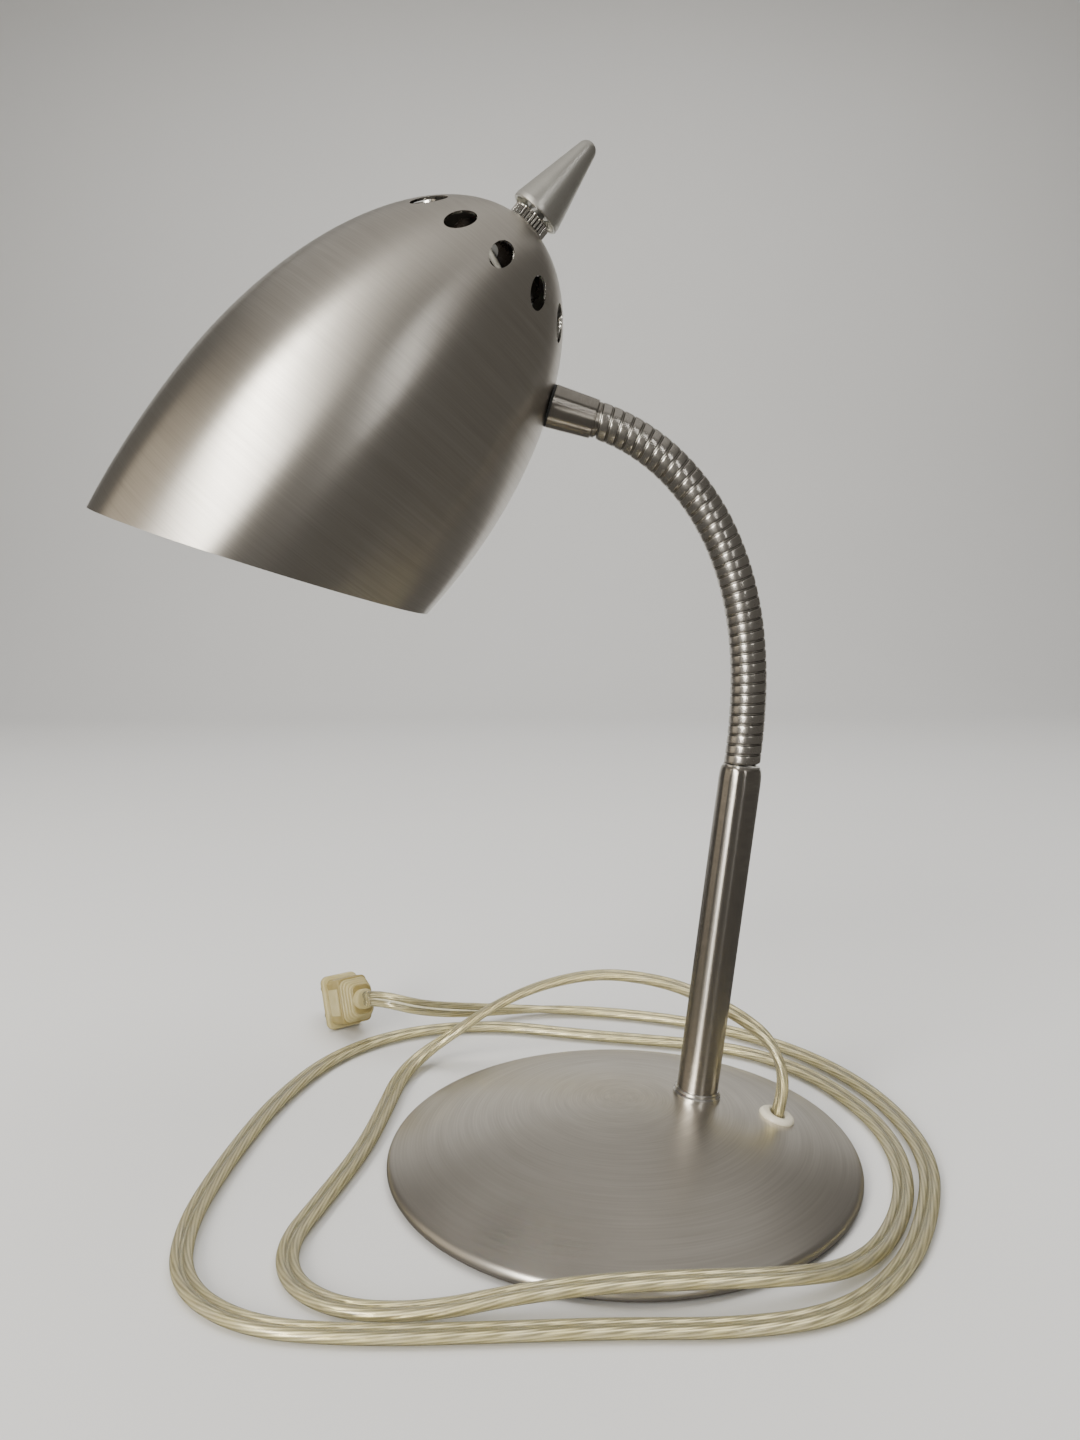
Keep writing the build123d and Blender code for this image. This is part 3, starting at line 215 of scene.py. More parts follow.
# ------------------------------------------------------------------ workbench
class Bench:
    """Modelling steps done with operators, as by hand."""

    @staticmethod
    def clear() -> None:
        """Leave edit mode and deselect everything."""
        if bpy.context.object and bpy.context.object.mode != "OBJECT":
            bpy.ops.object.mode_set(mode="OBJECT")
        bpy.ops.object.select_all(action="DESELECT")

    @staticmethod
    def pick(piece: bpy.types.Object) -> None:
        """Select one piece alone and make it active."""
        Bench.clear()
        piece.select_set(True)
        bpy.context.view_layer.objects.active = piece

    @staticmethod
    def named(name: str) -> bpy.types.Object:
        """Name the primitive that was just added and return it."""
        piece = bpy.context.object
        piece.name = name
        return piece

    @staticmethod
    def edit(action: str = "SELECT") -> None:
        """Enter edit mode with all of the active piece selected, or none of it."""
        bpy.ops.object.mode_set(mode="EDIT")
        bpy.ops.mesh.select_all(action=action)

    @staticmethod
    def leave_edit() -> None:
        """Go back from edit mode, with vertices as what is picked next time."""
        bpy.ops.mesh.select_mode(type="VERT")
        bpy.ops.object.mode_set(mode="OBJECT")

    @staticmethod
    def select_edges(piece: bpy.types.Object, chosen: Callable[[Vector, Vector], bool]) -> None:
        """Select, in edit mode, only the edges whose two ends a rule chooses."""
        bpy.ops.mesh.select_mode(type="EDGE")
        bpy.ops.mesh.select_all(action="DESELECT")
        mesh = bmesh.from_edit_mesh(piece.data)
        for edge in mesh.edges:
            edge.select = chosen(*(vert.co for vert in edge.verts))
        bmesh.update_edit_mesh(piece.data)

    @staticmethod
    def seat(piece: bpy.types.Object, matrix: Matrix) -> None:
        """Move a piece by a matrix and put its place into its mesh."""
        Bench.pick(piece)
        piece.matrix_world = matrix @ piece.matrix_world
        bpy.ops.object.transform_apply(location=True, rotation=True, scale=True)

    @staticmethod
    def shape(
        piece: bpy.types.Object, move: Callable[[Vector], Vector], seat: Seat = UPRIGHT
    ) -> None:
        """Move the points of a piece.

        Args:
            piece: the piece.
            move: returns a point's new place, in metres in the seat's frame.
            seat: the frame.
        """
        to_world = seat.matrix()
        to_local = to_world.inverted()
        mesh = bmesh.new()
        mesh.from_mesh(piece.data)
        for vert in mesh.verts:
            vert.co = to_world @ move(to_local @ vert.co)
        mesh.to_mesh(piece.data)
        mesh.free()

    @staticmethod
    def apply_modifiers(piece: bpy.types.Object) -> None:
        """Apply every modifier of a piece, in order."""
        Bench.pick(piece)
        for modifier in list(piece.modifiers):
            bpy.ops.object.modifier_apply(modifier=modifier.name)

    @staticmethod
    def smooth(piece: bpy.types.Object, angle: float = 32.0) -> None:
        """Shade a piece smooth, with edges sharper than an angle kept crisp."""
        Bench.pick(piece)
        bpy.ops.object.shade_smooth_by_angle(angle=math.radians(angle))

    @staticmethod
    def fill_open_ends() -> None:
        """Fill every open ring of the piece in edit mode and leave edit mode."""
        bpy.ops.mesh.select_all(action="DESELECT")
        bpy.ops.mesh.select_mode(type="EDGE")
        bpy.ops.mesh.select_non_manifold()
        bpy.ops.mesh.fill_holes(sides=0)
        Bench.leave_edit()

    @staticmethod
    def outward(piece: bpy.types.Object) -> None:
        """Merge doubles and point the faces outward."""
        Bench.pick(piece)
        Bench.edit()
        bpy.ops.mesh.remove_doubles(threshold=MERGE)
        bpy.ops.mesh.normals_make_consistent(inside=False)
        bpy.ops.object.mode_set(mode="OBJECT")

    @staticmethod
    def ring(name: str, radius: float, vertices: int) -> bpy.types.Object:
        """Return a ring of edges round local Z, at the origin.

        Args:
            name: name of the piece.
            radius: its radius, in metres.
            vertices: number of its vertices.

        Returns:
            The ring.
        """
        Bench.clear()
        bpy.ops.mesh.primitive_circle_add(
            vertices=vertices, radius=radius, fill_type="NOTHING", location=(0, 0, 0)
        )
        return Bench.named(name)

    @staticmethod
    def turned(
        name: str, stations: list[Station], seat: Seat, segments: int = 96, closed: bool = False
    ) -> bpy.types.Object:
        """Turn a profile about an axis, with any open end closed flat.

        Args:
            name: name of the piece.
            stations: radius and place along the axis, in millimetres.
            seat: where the axis starts and points.
            segments: sides of each ring.
            closed: whether the last ring joins the first.

        Returns:
            The turned piece, at the origin with its place in its mesh.
        """
        radius, height = stations[0]
        piece = Bench.ring(name, radius * MM, segments)
        Bench.edit()
        bpy.ops.transform.translate(value=(0, 0, height * MM))
        for next_radius, next_height in stations[1:] + stations[:1] * closed:
            rise = (next_height - height) * MM
            bpy.ops.mesh.extrude_region_move(TRANSFORM_OT_translate={"value": (0, 0, rise)})
            if not math.isclose(next_radius, radius):
                scale = next_radius / radius
                bpy.ops.transform.resize(
                    value=(scale, scale, 1), center_override=(0, 0, next_height * MM)
                )
            radius, height = next_radius, next_height
        bpy.ops.mesh.select_all(action="SELECT")
        bpy.ops.mesh.remove_doubles(threshold=MERGE)
        Bench.fill_open_ends()
        Bench.outward(piece)
        Bench.seat(piece, seat.matrix())
        return piece

    @staticmethod
    def bevel(piece: bpy.types.Object, width: float, segments: int, angle: float) -> None:
        """Round a piece's sharp edges.

        Args:
            piece: the piece.
            width: bevel width in millimetres.
            segments: rows of faces on each edge.
            angle: least angle, in degrees, of an edge that is rounded.
        """
        modifier = piece.modifiers.new("edges", "BEVEL")
        modifier.width = width * MM
        modifier.segments = segments
        modifier.limit_method = "ANGLE"
        modifier.angle_limit = math.radians(angle)
        modifier.harden_normals = False
        Bench.apply_modifiers(piece)

    @staticmethod
    def join(pieces: list[bpy.types.Object], name: str) -> bpy.types.Object:
        """Join pieces into one.

        Args:
            pieces: the pieces, the first of which keeps its place.
            name: name of the result.

        Returns:
            The joined piece.
        """
        Bench.pick(pieces[0])
        for piece in pieces[1:]:
            piece.select_set(True)
        bpy.ops.object.join()
        pieces[0].name = name
        return pieces[0]

    @staticmethod
    def placed(name: str, data: bpy.types.ID) -> bpy.types.Object:
        """Return a new object of the scene that shows some data."""
        piece = bpy.data.objects.new(name, data)
        bpy.context.collection.objects.link(piece)
        return piece


# ------------------------------------------------------------------ finishes
class Nodes:
    """A small writer of shader nodes for one material."""

    def __init__(self, name: str) -> None:
        """Start a material with a Principled shader.

        Args:
            name: name of the material.
        """
        self.material = bpy.data.materials.new(name)
        self.material.use_nodes = True
        self.tree = self.material.node_tree
        self.shader = self.tree.nodes["Principled BSDF"]

    def add(self, kind: str, **settings: object) -> bpy.types.Node:
        """Add a node and set its properties.

        Args:
            kind: Blender's node type.
            **settings: properties of the node.

        Returns:
            The node.
        """
        node = self.tree.nodes.new(kind)
        for key, value in settings.items():
            setattr(node, key, value)
        return node

    def feed(self, node: bpy.types.Node, **inputs: object) -> bpy.types.Node:
        """Link sockets or set plain values on a node's inputs.

        Args:
            node: the node.
            **inputs: a socket or value for each input, low lines standing for spaces in its name.

        Returns:
            The node.
        """
        for name, value in inputs.items():
            self.put(value, node.inputs[name.replace("_", " ")])
        return node

    def put(self, value: object, target: bpy.types.NodeSocket) -> None:
        """Link a socket, or set a plain value, on one input."""
        if isinstance(value, bpy.types.NodeSocket):
            self.tree.links.new(value, target)
        else:
            target.default_value = value

    def maths(self, operation: str, first: object, second: object = 0.0) -> bpy.types.NodeSocket:
        """Return the result of a Math node on sockets or numbers."""
        node = self.add("ShaderNodeMath", operation=operation)
        self.put(first, node.inputs[0])
        self.put(second, node.inputs[1])
        return node.outputs[0]

    def weigh(self, first: object, second: object, share: float) -> bpy.types.NodeSocket:
        """Return the sum of two values, the first with a share of the weight."""
        return self.maths(
            "ADD", self.maths("MULTIPLY", first, share), self.maths("MULTIPLY", second, 1 - share)
        )

    def vector(self, operation: str, first: object, second: object = None) -> bpy.types.Node:
        """Return a Vector Math node on sockets or vectors."""
        node = self.add("ShaderNodeVectorMath", operation=operation)
        self.put(first, node.inputs[0])
        if second is not None:
            self.put(second, node.inputs[1])
        return node

    def noise(
        self, where: object, scale: float, detail: float, roughness: float = 0.5
    ) -> bpy.types.NodeSocket:
        """Return the value of a Noise Texture at a place."""
        node = self.add("ShaderNodeTexNoise")
        return self.feed(node, Scale=scale, Detail=detail, Roughness=roughness, Vector=where).outputs["Fac"]

    def spread(self, value: object, low: float, high: float) -> bpy.types.NodeSocket:
        """Return a 0-1 value mapped linearly to low-high, with the noise's middle part used."""
        node = self.feed(self.add("ShaderNodeMapRange"), From_Min=0.3, From_Max=0.7)
        return self.feed(node, To_Min=low, To_Max=high, Value=value).outputs["Result"]

    def blend(self, amount: object, first: Colour, second: Colour) -> bpy.types.NodeSocket:
        """Return a mix of two colours."""
        node = self.add("ShaderNodeMix", data_type="RGBA")
        for index, value in ((0, amount), (6, first), (7, second)):
            self.put(value, node.inputs[index])
        return node.outputs[2]

    def bump(self, height: object, distance: float) -> None:
        """Feed a height, in metres of distance, to the shader's normal."""
        node = self.feed(self.add("ShaderNodeBump"), Strength=1.0, Distance=distance, Height=height)
        self.feed(self.shader, Normal=node.outputs["Normal"])

    def place(self) -> bpy.types.NodeSocket:
        """Return the Object coordinates."""
        return self.add("ShaderNodeTexCoord").outputs["Object"]

    def local(self, seat: Seat) -> bpy.types.NodeSocket:
        """Return the coordinates in the frame of a seat."""
        node = self.add("ShaderNodeMapping", vector_type="TEXTURE")
        matrix = seat.matrix()
        self.feed(node, Location=matrix.to_translation(), Rotation=matrix.to_euler(), Vector=self.place())
        return node.outputs["Vector"]

    def split(self, vector: bpy.types.NodeSocket) -> list[bpy.types.NodeSocket]:
        """Return the X, Y and Z of a vector."""
        return list(self.feed(self.add("ShaderNodeSeparateXYZ"), Vector=vector).outputs)

    def combine(self, **parts: object) -> bpy.types.NodeSocket:
        """Return a vector from its named parts, the others being nought."""
        return self.feed(self.add("ShaderNodeCombineXYZ"), **parts).outputs[0]


def tone(red: float, green: float, blue: float) -> Colour:
    """Return an opaque colour."""
    return (red, green, blue, 1.0)


@dataclass(frozen=True)
class Look:
    """What every finish has: two tones and a range of roughness.

    Attributes:
        name: name of the material.
        light: lighter colour.
        dark: darker colour.
        smooth: least roughness.
        rough: greatest roughness.
    """

    name: str
    light: Colour
    dark: Colour
    smooth: float
    rough: float

    def paint(self, nodes: Nodes) -> None:
        """Write the finish's own nodes; each finish has its own way."""
        raise NotImplementedError

    def tones(self, nodes: Nodes, pattern: bpy.types.NodeSocket) -> bpy.types.NodeSocket:
        """Return the colour that a pattern gives, dark where it is low."""
        return nodes.blend(nodes.spread(pattern, 0.0, 1.0), self.dark, self.light)

    def make(self) -> bpy.types.Material:
        """Return the material."""
        nodes = Nodes(self.name)
        self.paint(nodes)
        return nodes.material


@dataclass(frozen=True)
class BrushedNickel(Look):
    """Satin nickel brushed in rings round an axis.

    Attributes:
        seat: axis that the brush ran round.
        anisotropy: how far the brushing stretches highlights.
        across: share of the radius in the brush line's place, the rest is the axis.
        line: brush lines in each metre.
        cloud: marks of wear in each metre.
    """

    seat: Seat
    anisotropy: float
    across: float = 1.0
    line: float = 2600.0
    cloud: float = 16.0

    def brushing(self, nodes: Nodes) -> bpy.types.NodeSocket:
        """Return fine and broader noise that runs in rings round the axis."""
        x, y, z = nodes.split(nodes.local(self.seat))
        flat = nodes.combine(X=x, Y=y)
        radius = nodes.vector("LENGTH", flat).outputs["Value"]
        place = nodes.maths("ADD", z, nodes.maths("MULTIPLY", radius, self.across))
        way_round = nodes.vector("NORMALIZE", flat).outputs[0]
        rings = []
        for lines, turns in ((self.line, 2.2), (self.line / 7, 1.1)):
            stretched = nodes.vector("MULTIPLY", way_round, (turns, turns, 0.0)).outputs[0]
            along = nodes.combine(Z=nodes.maths("MULTIPLY", place, lines))
            rings.append(nodes.noise(nodes.vector("ADD", stretched, along).outputs[0], 1.0, 0.0))
        return nodes.weigh(*rings, 0.6)

    def tangent(self, nodes: Nodes) -> bpy.types.NodeSocket:
        """Return the way that the brush ran, in world space, for the stretched highlights."""
        from_axis = nodes.vector("SUBTRACT", nodes.place(), tuple(self.seat.origin)).outputs[0]
        way = nodes.vector("CROSS_PRODUCT", tuple(self.seat.axis.normalized()), from_axis).outputs[0]
        turn = nodes.add(
            "ShaderNodeVectorTransform", vector_type="VECTOR", convert_from="OBJECT", convert_to="WORLD"
        )
        return nodes.feed(turn, Vector=way).outputs[0]

    def paint(self, nodes: Nodes) -> None:
        """Write brush rings under a cloud of wear."""
        worn = nodes.weigh(self.brushing(nodes), nodes.noise(nodes.place(), self.cloud, 3.0), 0.75)
        nodes.feed(
            nodes.shader,
            Base_Color=self.tones(nodes, worn),
            Roughness=nodes.spread(worn, self.rough, self.smooth),
            Metallic=1.0,
            Anisotropic=self.anisotropy,
            Anisotropic_Rotation=0.25,
            Tangent=self.tangent(nodes),
        )


@dataclass(frozen=True)
class SmoothMetal(Look):
    """Plated or plain metal with faint handling marks.

    Attributes:
        grain: marks in each metre.
        depth: depth of the marks, in metres.
    """

    grain: float = 260.0
    depth: float = 0.000006

    def paint(self, nodes: Nodes) -> None:
        """Write the marks over a cloud, in tone, gloss and height."""
        place = nodes.place()
        marks = nodes.noise(place, self.grain, 4.0, 0.6)
        both = nodes.weigh(marks, nodes.noise(place, self.grain / 9, 2.0), 0.5)
        gloss = nodes.spread(both, self.rough, self.smooth)
        nodes.feed(nodes.shader, Base_Color=self.tones(nodes, both), Roughness=gloss, Metallic=1.0)
        nodes.bump(marks, self.depth)


@dataclass(frozen=True)
class Moulded(Look):
    """Plastic, rubber, fibre, vinyl, glass or paper with a fine skin.

    Attributes:
        grain: marks of the skin in each metre.
        depth: depth of the skin, in metres.
        cloud: marks of the tone in each metre, or nought for a twentieth of the grain.
        skin_detail: detail of the skin's noise.
    """

    smooth: float = 0.35
    rough: float = 0.5
    grain: float = 900.0
    depth: float = 0.00002
    cloud: float = 0.0
    skin_detail: float = 3.0

    def extras(self) -> dict[str, float]:
        """Return the shader's other values."""
        return {}

    def paint(self, nodes: Nodes) -> None:
        """Write a cloudy tone under a fine skin."""
        place = nodes.place()
        skin = nodes.noise(place, self.grain, self.skin_detail)
        cloud = nodes.noise(place, self.cloud or self.grain / 20, 3.0)
        gloss = nodes.spread(skin, self.smooth, self.rough)
        nodes.feed(nodes.shader, Base_Color=self.tones(nodes, cloud), Roughness=gloss, **self.extras())
        nodes.bump(skin, self.depth)


@dataclass(frozen=True)
class Glossy(Moulded):
    """A moulding under a clear gloss coat.

    Attributes:
        coat: strength of the coat.
    """

    coat: float = 0.3

    def extras(self) -> dict[str, float]:
        """Return the coat."""
        return {"Coat_Weight": self.coat}


@dataclass(frozen=True)
class ClearVinyl(Moulded):
    """Clear golden vinyl, as on lamp cord and moulded plugs.

    Attributes:
        through: share of light that passes.
        bending: its index of refraction.
    """

    smooth: float = 0.12
    rough: float = 0.22
    grain: float = 960.0
    cloud: float = 120.0
    skin_detail: float = 2.0
    through: float = 0.4
    bending: float = 1.47

    def extras(self) -> dict[str, float]:
        """Return how light passes through."""
        return {"Transmission_Weight": self.through, "IOR": self.bending}


@dataclass(frozen=True)
class FrostedGlass(Moulded):
    """White frosted bulb glass.

    Attributes:
        glow: share of light that scatters inside.
        reach: how far it scatters, in metres.
    """

    glow: float = 0.25
    reach: float = 0.004

    def extras(self) -> dict[str, float]:
        """Return how light scatters inside."""
        return {"Subsurface_Weight": self.glow, "Subsurface_Scale": self.reach}


@dataclass(frozen=True)
class TwistedStrands(Look):
    """Fine twisted wire strands, read along the piece's own UV map, darker in the troughs between strands as
    painted shade.

    Attributes:
        lay: how fast the strands pass along the wire, in radians for each metre.
        strands: how fast they pass round it, in radians for each turn.
        depth: depth between two strands, in metres.
    """

    light: Colour = tone(0.95, 0.90, 0.72)
    # the dark tone is painted shade between the strands, the light tone their crests
    dark: Colour = tone(0.52, 0.47, 0.32)
    smooth: float = 0.3
    rough: float = 0.3
    lay: float = 560.0
    strands: float = 44.0
    depth: float = 0.00008

    def paint(self, nodes: Nodes) -> None:
        """Write a slanted wave for the strands, as bumps and as painted shade that darkens their troughs."""
        along, around, _ = nodes.split(nodes.add("ShaderNodeUVMap").outputs[0])
        slant = nodes.maths(
            "ADD", nodes.maths("MULTIPLY", along, self.lay), nodes.maths("MULTIPLY", around, self.strands)
        )
        wave = nodes.maths("ADD", nodes.maths("MULTIPLY", nodes.maths("SINE", slant), 0.5), 0.5)
        # colour follows the bump's wave: painted shade in the troughs, full tone on the crests
        colour = nodes.blend(wave, self.dark, self.light)
        nodes.feed(nodes.shader, Base_Color=colour, Roughness=self.smooth, Metallic=1.0)
        nodes.bump(wave, self.depth)


class Finish(Enum):
    """Finishes that don't depend on a place."""

    COIL = SmoothMetal(
        "coil_steel", tone(0.66, 0.63, 0.58), tone(0.54, 0.515, 0.47), 0.22, 0.30, 500.0, 0.000001
    )
    COIL_WIRE = SmoothMetal("coil_wire", tone(0.58, 0.55, 0.50), tone(0.36, 0.34, 0.31), 0.25, 0.4, 700.0)
    # near-black painted shade: the coil's inner strip seen down its grooves, and the ring nut's knurl
    # valleys
    COIL_CORE = SmoothMetal(
        "coil_core", tone(0.10, 0.095, 0.085), tone(0.05, 0.048, 0.043), 0.5, 0.7, 700.0
    )
    SATIN = SmoothMetal(
        "satin_zinc", tone(0.84, 0.83, 0.78), tone(0.70, 0.69, 0.64), 0.3, 0.44, 1500.0, 0.00002
    )
    LINING = SmoothMetal("shade_inside", tone(0.34, 0.33, 0.31), tone(0.26, 0.25, 0.235), 0.45, 0.6)
    NICKEL_EDGE = SmoothMetal("cut_nickel", tone(0.86, 0.84, 0.79), tone(0.70, 0.68, 0.63), 0.15, 0.25)
    ZINC = SmoothMetal("zinc_plate", tone(0.62, 0.62, 0.60), tone(0.45, 0.45, 0.44), 0.3, 0.45)
    BRASS = SmoothMetal("plain_brass", tone(0.80, 0.62, 0.30), tone(0.55, 0.40, 0.18), 0.2, 0.38)
    BLADE = SmoothMetal("blade_metal", tone(0.86, 0.80, 0.62), tone(0.66, 0.58, 0.40), 0.16, 0.3)
    SOCKET = SmoothMetal("screw_shell", tone(0.85, 0.84, 0.81), tone(0.68, 0.67, 0.64), 0.22, 0.35)
    IRON = Moulded("cast_iron", tone(0.12, 0.12, 0.12), tone(0.06, 0.06, 0.06), 0.6, 0.85, 500.0, 0.0002)
    BOARD = Moulded(
        "cover_board", tone(0.10, 0.09, 0.08), tone(0.06, 0.055, 0.05), 0.7, 0.9, 900.0, 0.00006
    )
    FELT = Moulded("foot_felt", tone(0.045, 0.042, 0.04), tone(0.02, 0.02, 0.02), 0.9, 1.0, 1800.0, 0.00015)
    BLACK = Moulded("black_gasket", tone(0.03, 0.03, 0.03), tone(0.015, 0.015, 0.015), 0.4, 0.6)
    LINER = Moulded("fibre_liner", tone(0.50, 0.40, 0.27), tone(0.38, 0.29, 0.18), 0.7, 0.9)
    WIRE = Moulded("lead_cover", tone(0.80, 0.78, 0.70), tone(0.70, 0.67, 0.58), 0.35, 0.5)
    PAPER = Moulded("studio_paper", tone(0.80, 0.80, 0.79), tone(0.78, 0.78, 0.77), 0.75, 0.85, 40.0, 0.0)
    CREAM = Glossy(
        "cream_nylon", tone(0.86, 0.81, 0.66), tone(0.78, 0.71, 0.54), 0.28, 0.42, 500.0, 0.00001
    )
    PHENOLIC = Glossy(
        "phenolic", tone(0.035, 0.028, 0.022), tone(0.018, 0.014, 0.012), 0.2, 0.35, 300.0, 0.00001, coat=0.4
    )
    CORD_VINYL = ClearVinyl("cord_vinyl", tone(0.98, 0.94, 0.73), tone(0.95, 0.895, 0.60), through=0.9)
    PLUG_VINYL = ClearVinyl("plug_vinyl", tone(0.84, 0.75, 0.44), tone(0.70, 0.60, 0.28))
    PLUG_CORE = ClearVinyl("plug_core", tone(0.58, 0.48, 0.22), tone(0.44, 0.35, 0.13))
    GLASS = FrostedGlass(
        "frosted_glass",
        tone(0.93, 0.92, 0.89),
        tone(0.86, 0.85, 0.82),
        0.3,
        0.42,
        grain=1800.0,
        depth=0.000015,
        cloud=60.0,
        skin_detail=2.0,
    )


def polished_steel(name: str, seat: Seat) -> BrushedNickel:
    """Return the bright steel of the stem and the ferrule, polished round an axis."""
    light, dark = tone(0.52, 0.49, 0.445), tone(0.42, 0.395, 0.355)
    return BrushedNickel(name, light, dark, 0.25, 0.27, seat, anisotropy=0.92, across=0.0, line=3000.0)


def brushed_nickel(name: str, seat: Seat, smooth: float, rough: float, stretch: float) -> BrushedNickel:
    """Return the satin nickel of the base and the shade, brushed round an axis."""
    light, dark = tone(0.72, 0.685, 0.625), tone(0.61, 0.575, 0.52)
    return BrushedNickel(name, light, dark, smooth, rough, seat, anisotropy=stretch)


MADE: dict[str, bpy.types.Material] = {}


def material_of(finish: Finish | Look) -> bpy.types.Material:
    """Return a finish's material, made once."""
    look = finish.value if isinstance(finish, Finish) else finish
    if look.name not in MADE:
        MADE[look.name] = look.make()
    return MADE[look.name]


def paint(piece: bpy.types.Object, *finishes: Finish | Look) -> None:
    """Give a piece its finishes, one for each material slot."""
    for finish in finishes:
        piece.data.materials.append(material_of(finish))


def dress(frame: dict, finish: Finish, *nodes: str) -> None:
    """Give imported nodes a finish.

    Args:
        frame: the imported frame.
        finish: the finish.
        *nodes: names of the nodes.
    """
    for node in nodes:
        piece = frame["nodes"][node]
        piece.data.materials.clear()
        paint(piece, finish)


def mount(piece: bpy.types.Object, body: str, slot: str, *nodes: str) -> None:
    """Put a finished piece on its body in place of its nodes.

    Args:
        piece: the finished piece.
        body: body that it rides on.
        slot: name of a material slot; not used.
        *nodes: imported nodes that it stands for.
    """
    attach(piece, body)
    if nodes:
        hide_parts(*nodes)


@dataclass(frozen=True)
class Turning:
    """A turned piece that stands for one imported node.

    Attributes:
        name: name of the piece.
        node: the node.
        slot: name of a material slot, handed on to mount.
        finish: its finish.
        body: body that it rides on.
        segments: sides of each ring.
        closed: whether its last ring joins its first.
        crease: least angle, in degrees, of an edge that stays crisp.
    """

    name: str
    node: str
    slot: str
    finish: Finish | Look
    body: str = "head"
    segments: int = 96
    closed: bool = True
    crease: float = 32.0

    def make(
        self, stations: list[Station], seat: Seat, move: Callable[[Vector], Vector] | None = None
    ) -> bpy.types.Object:
        """Turn, smooth, dress and mount the piece.

        Args:
            stations: radius and place along the axis, in millimetres.
            seat: where the axis starts and points.
            move: changes each point afterwards, in metres in the seat's frame, or None.

        Returns:
            The piece.
        """
        piece = Bench.turned(self.name, stations, seat, self.segments, self.closed)
        if move:
            Bench.shape(piece, move, seat)
        Bench.smooth(piece, self.crease)
        paint(piece, self.finish)
        mount(piece, self.body, self.slot, self.node)
        return piece


# ------------------------------------------------------------------ base
@dataclass
class Base:
    """Domed round base with its weight, cover, pad, stem foot and grommet.

    Attributes:
        grommet_slot: half-length and half-width of the grommet's hole.
        dome_radius: radius of the dome's sphere.
        dome_centre: height of its centre.
    """

    radius: float = 85.0
    edge_height: float = 2.2
    edge: float = 0.25
    rim_straight: float = 0.45
    rim_round: float = 3.0
    top: float = 23.2
    wall: float = 1.2
    grommet_y: float = 56.4
    grommet_radius: float = 6.5
    grommet_rise: float = 1.9
    grommet_lip: float = 0.8
    grommet_depth: float = 3.0
    grommet_slot: tuple[float, float] = (4.1, 2.5)
    dome_radius: float = field(init=False)
    dome_centre: float = field(init=False)

    def __post_init__(self) -> None:
        """Work out the dome's sphere from the base's sizes."""
        reach = self.radius - self.rim_round
        rise = self.top - self.edge_height - self.rim_straight
        self.dome_radius = (reach**2 + rise**2 - self.rim_round**2) / (2 * (rise - self.rim_round))
        self.dome_centre = self.top - self.dome_radius

    def grommet_seat(self) -> Seat:
        """Return the seat of the grommet on the dome, square to it."""
        z = self.dome_centre + math.sqrt(self.dome_radius**2 - self.grommet_y**2)
        point = Vector((0, self.grommet_y, z))
        outward = (point - Vector((0, 0, self.dome_centre))).normalized()
        return Seat(point * MM, outward)

    def shell(self) -> None:
        """Build the domed shell."""
        rim_z = self.edge_height + self.rim_straight
        reach = self.radius - self.rim_round
        tilt = math.degrees(math.atan2(rim_z - self.dome_centre, reach))
        outer = arc((0, self.dome_centre), self.dome_radius, 90, tilt, 56)
        rim = arc((reach, rim_z), self.rim_round, tilt, 0, 10)[1:]
        lip = [
            (self.radius, self.edge_height + self.edge),
            (self.radius - self.edge, self.edge_height),
            (self.radius - self.wall, self.edge_height),
        ]
        inner_rim = arc((reach, rim_z), self.rim_round - self.wall, 0, tilt, 6)
        inner = arc((0, self.dome_centre), self.dome_radius - self.wall, tilt, 90, 20)[1:]
        nickel = brushed_nickel("brushed_nickel_base", UPRIGHT, 0.30, 0.42, 0.35)
        turning = Turning("base_dome", "base_shell", "nickel_shell", nickel, "base", 256, closed=False)
        turning.make(outer + rim + lip + inner_rim + inner, UPRIGHT)

    def squeeze(self, place: Vector) -> Vector:
        """Return a point of the grommet with its round hole drawn in to an oval one."""
        hole, narrow = self.grommet_slot
        brim = self.grommet_radius - 1.0
        share = (brim - math.hypot(place.x, place.y) / MM) / (brim - hole)
        place.y *= 1 + (narrow / hole - 1) * min(max(share, 0), 1)
        return place

    def grommet(self) -> None:
        """Build the cream ring that the cord comes out of."""
        hole, _ = self.grommet_slot
        rise, lip, raised = self.grommet_rise, self.grommet_lip, 0.05
        bulge = oval_arc((self.grommet_radius - rise, raised), rise, rise - raised, 0, 90, 8)
        brim = arc((hole + lip, rise - lip), lip, 90, 180, 6)
        stations = [(self.grommet_radius - 0.2, -0.25)] + bulge + brim + [(hole, -self.grommet_depth)]
        turning = Turning("cord_ring", "cord_grommet", "grommet_cream", Finish.CREAM, "base", 64, crease=50)
        turning.make(stations, self.grommet_seat(), self.squeeze)

    def build(self, frame: dict) -> None:
        """Build and dress the base.

        Args:
            frame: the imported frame.
        """
        self.shell()
        self.grommet()
        dress(frame, Finish.IRON, "base_weight")
        dress(frame, Finish.BOARD, "bottom_cover")
        dress(frame, Finish.FELT, "foot_pad")
        dress(frame, Finish.ZINC, "stem_insert", "base_nipple", "base_washer", "base_nut")
        LOG.info("base: dome radius %.1f mm", self.dome_radius)


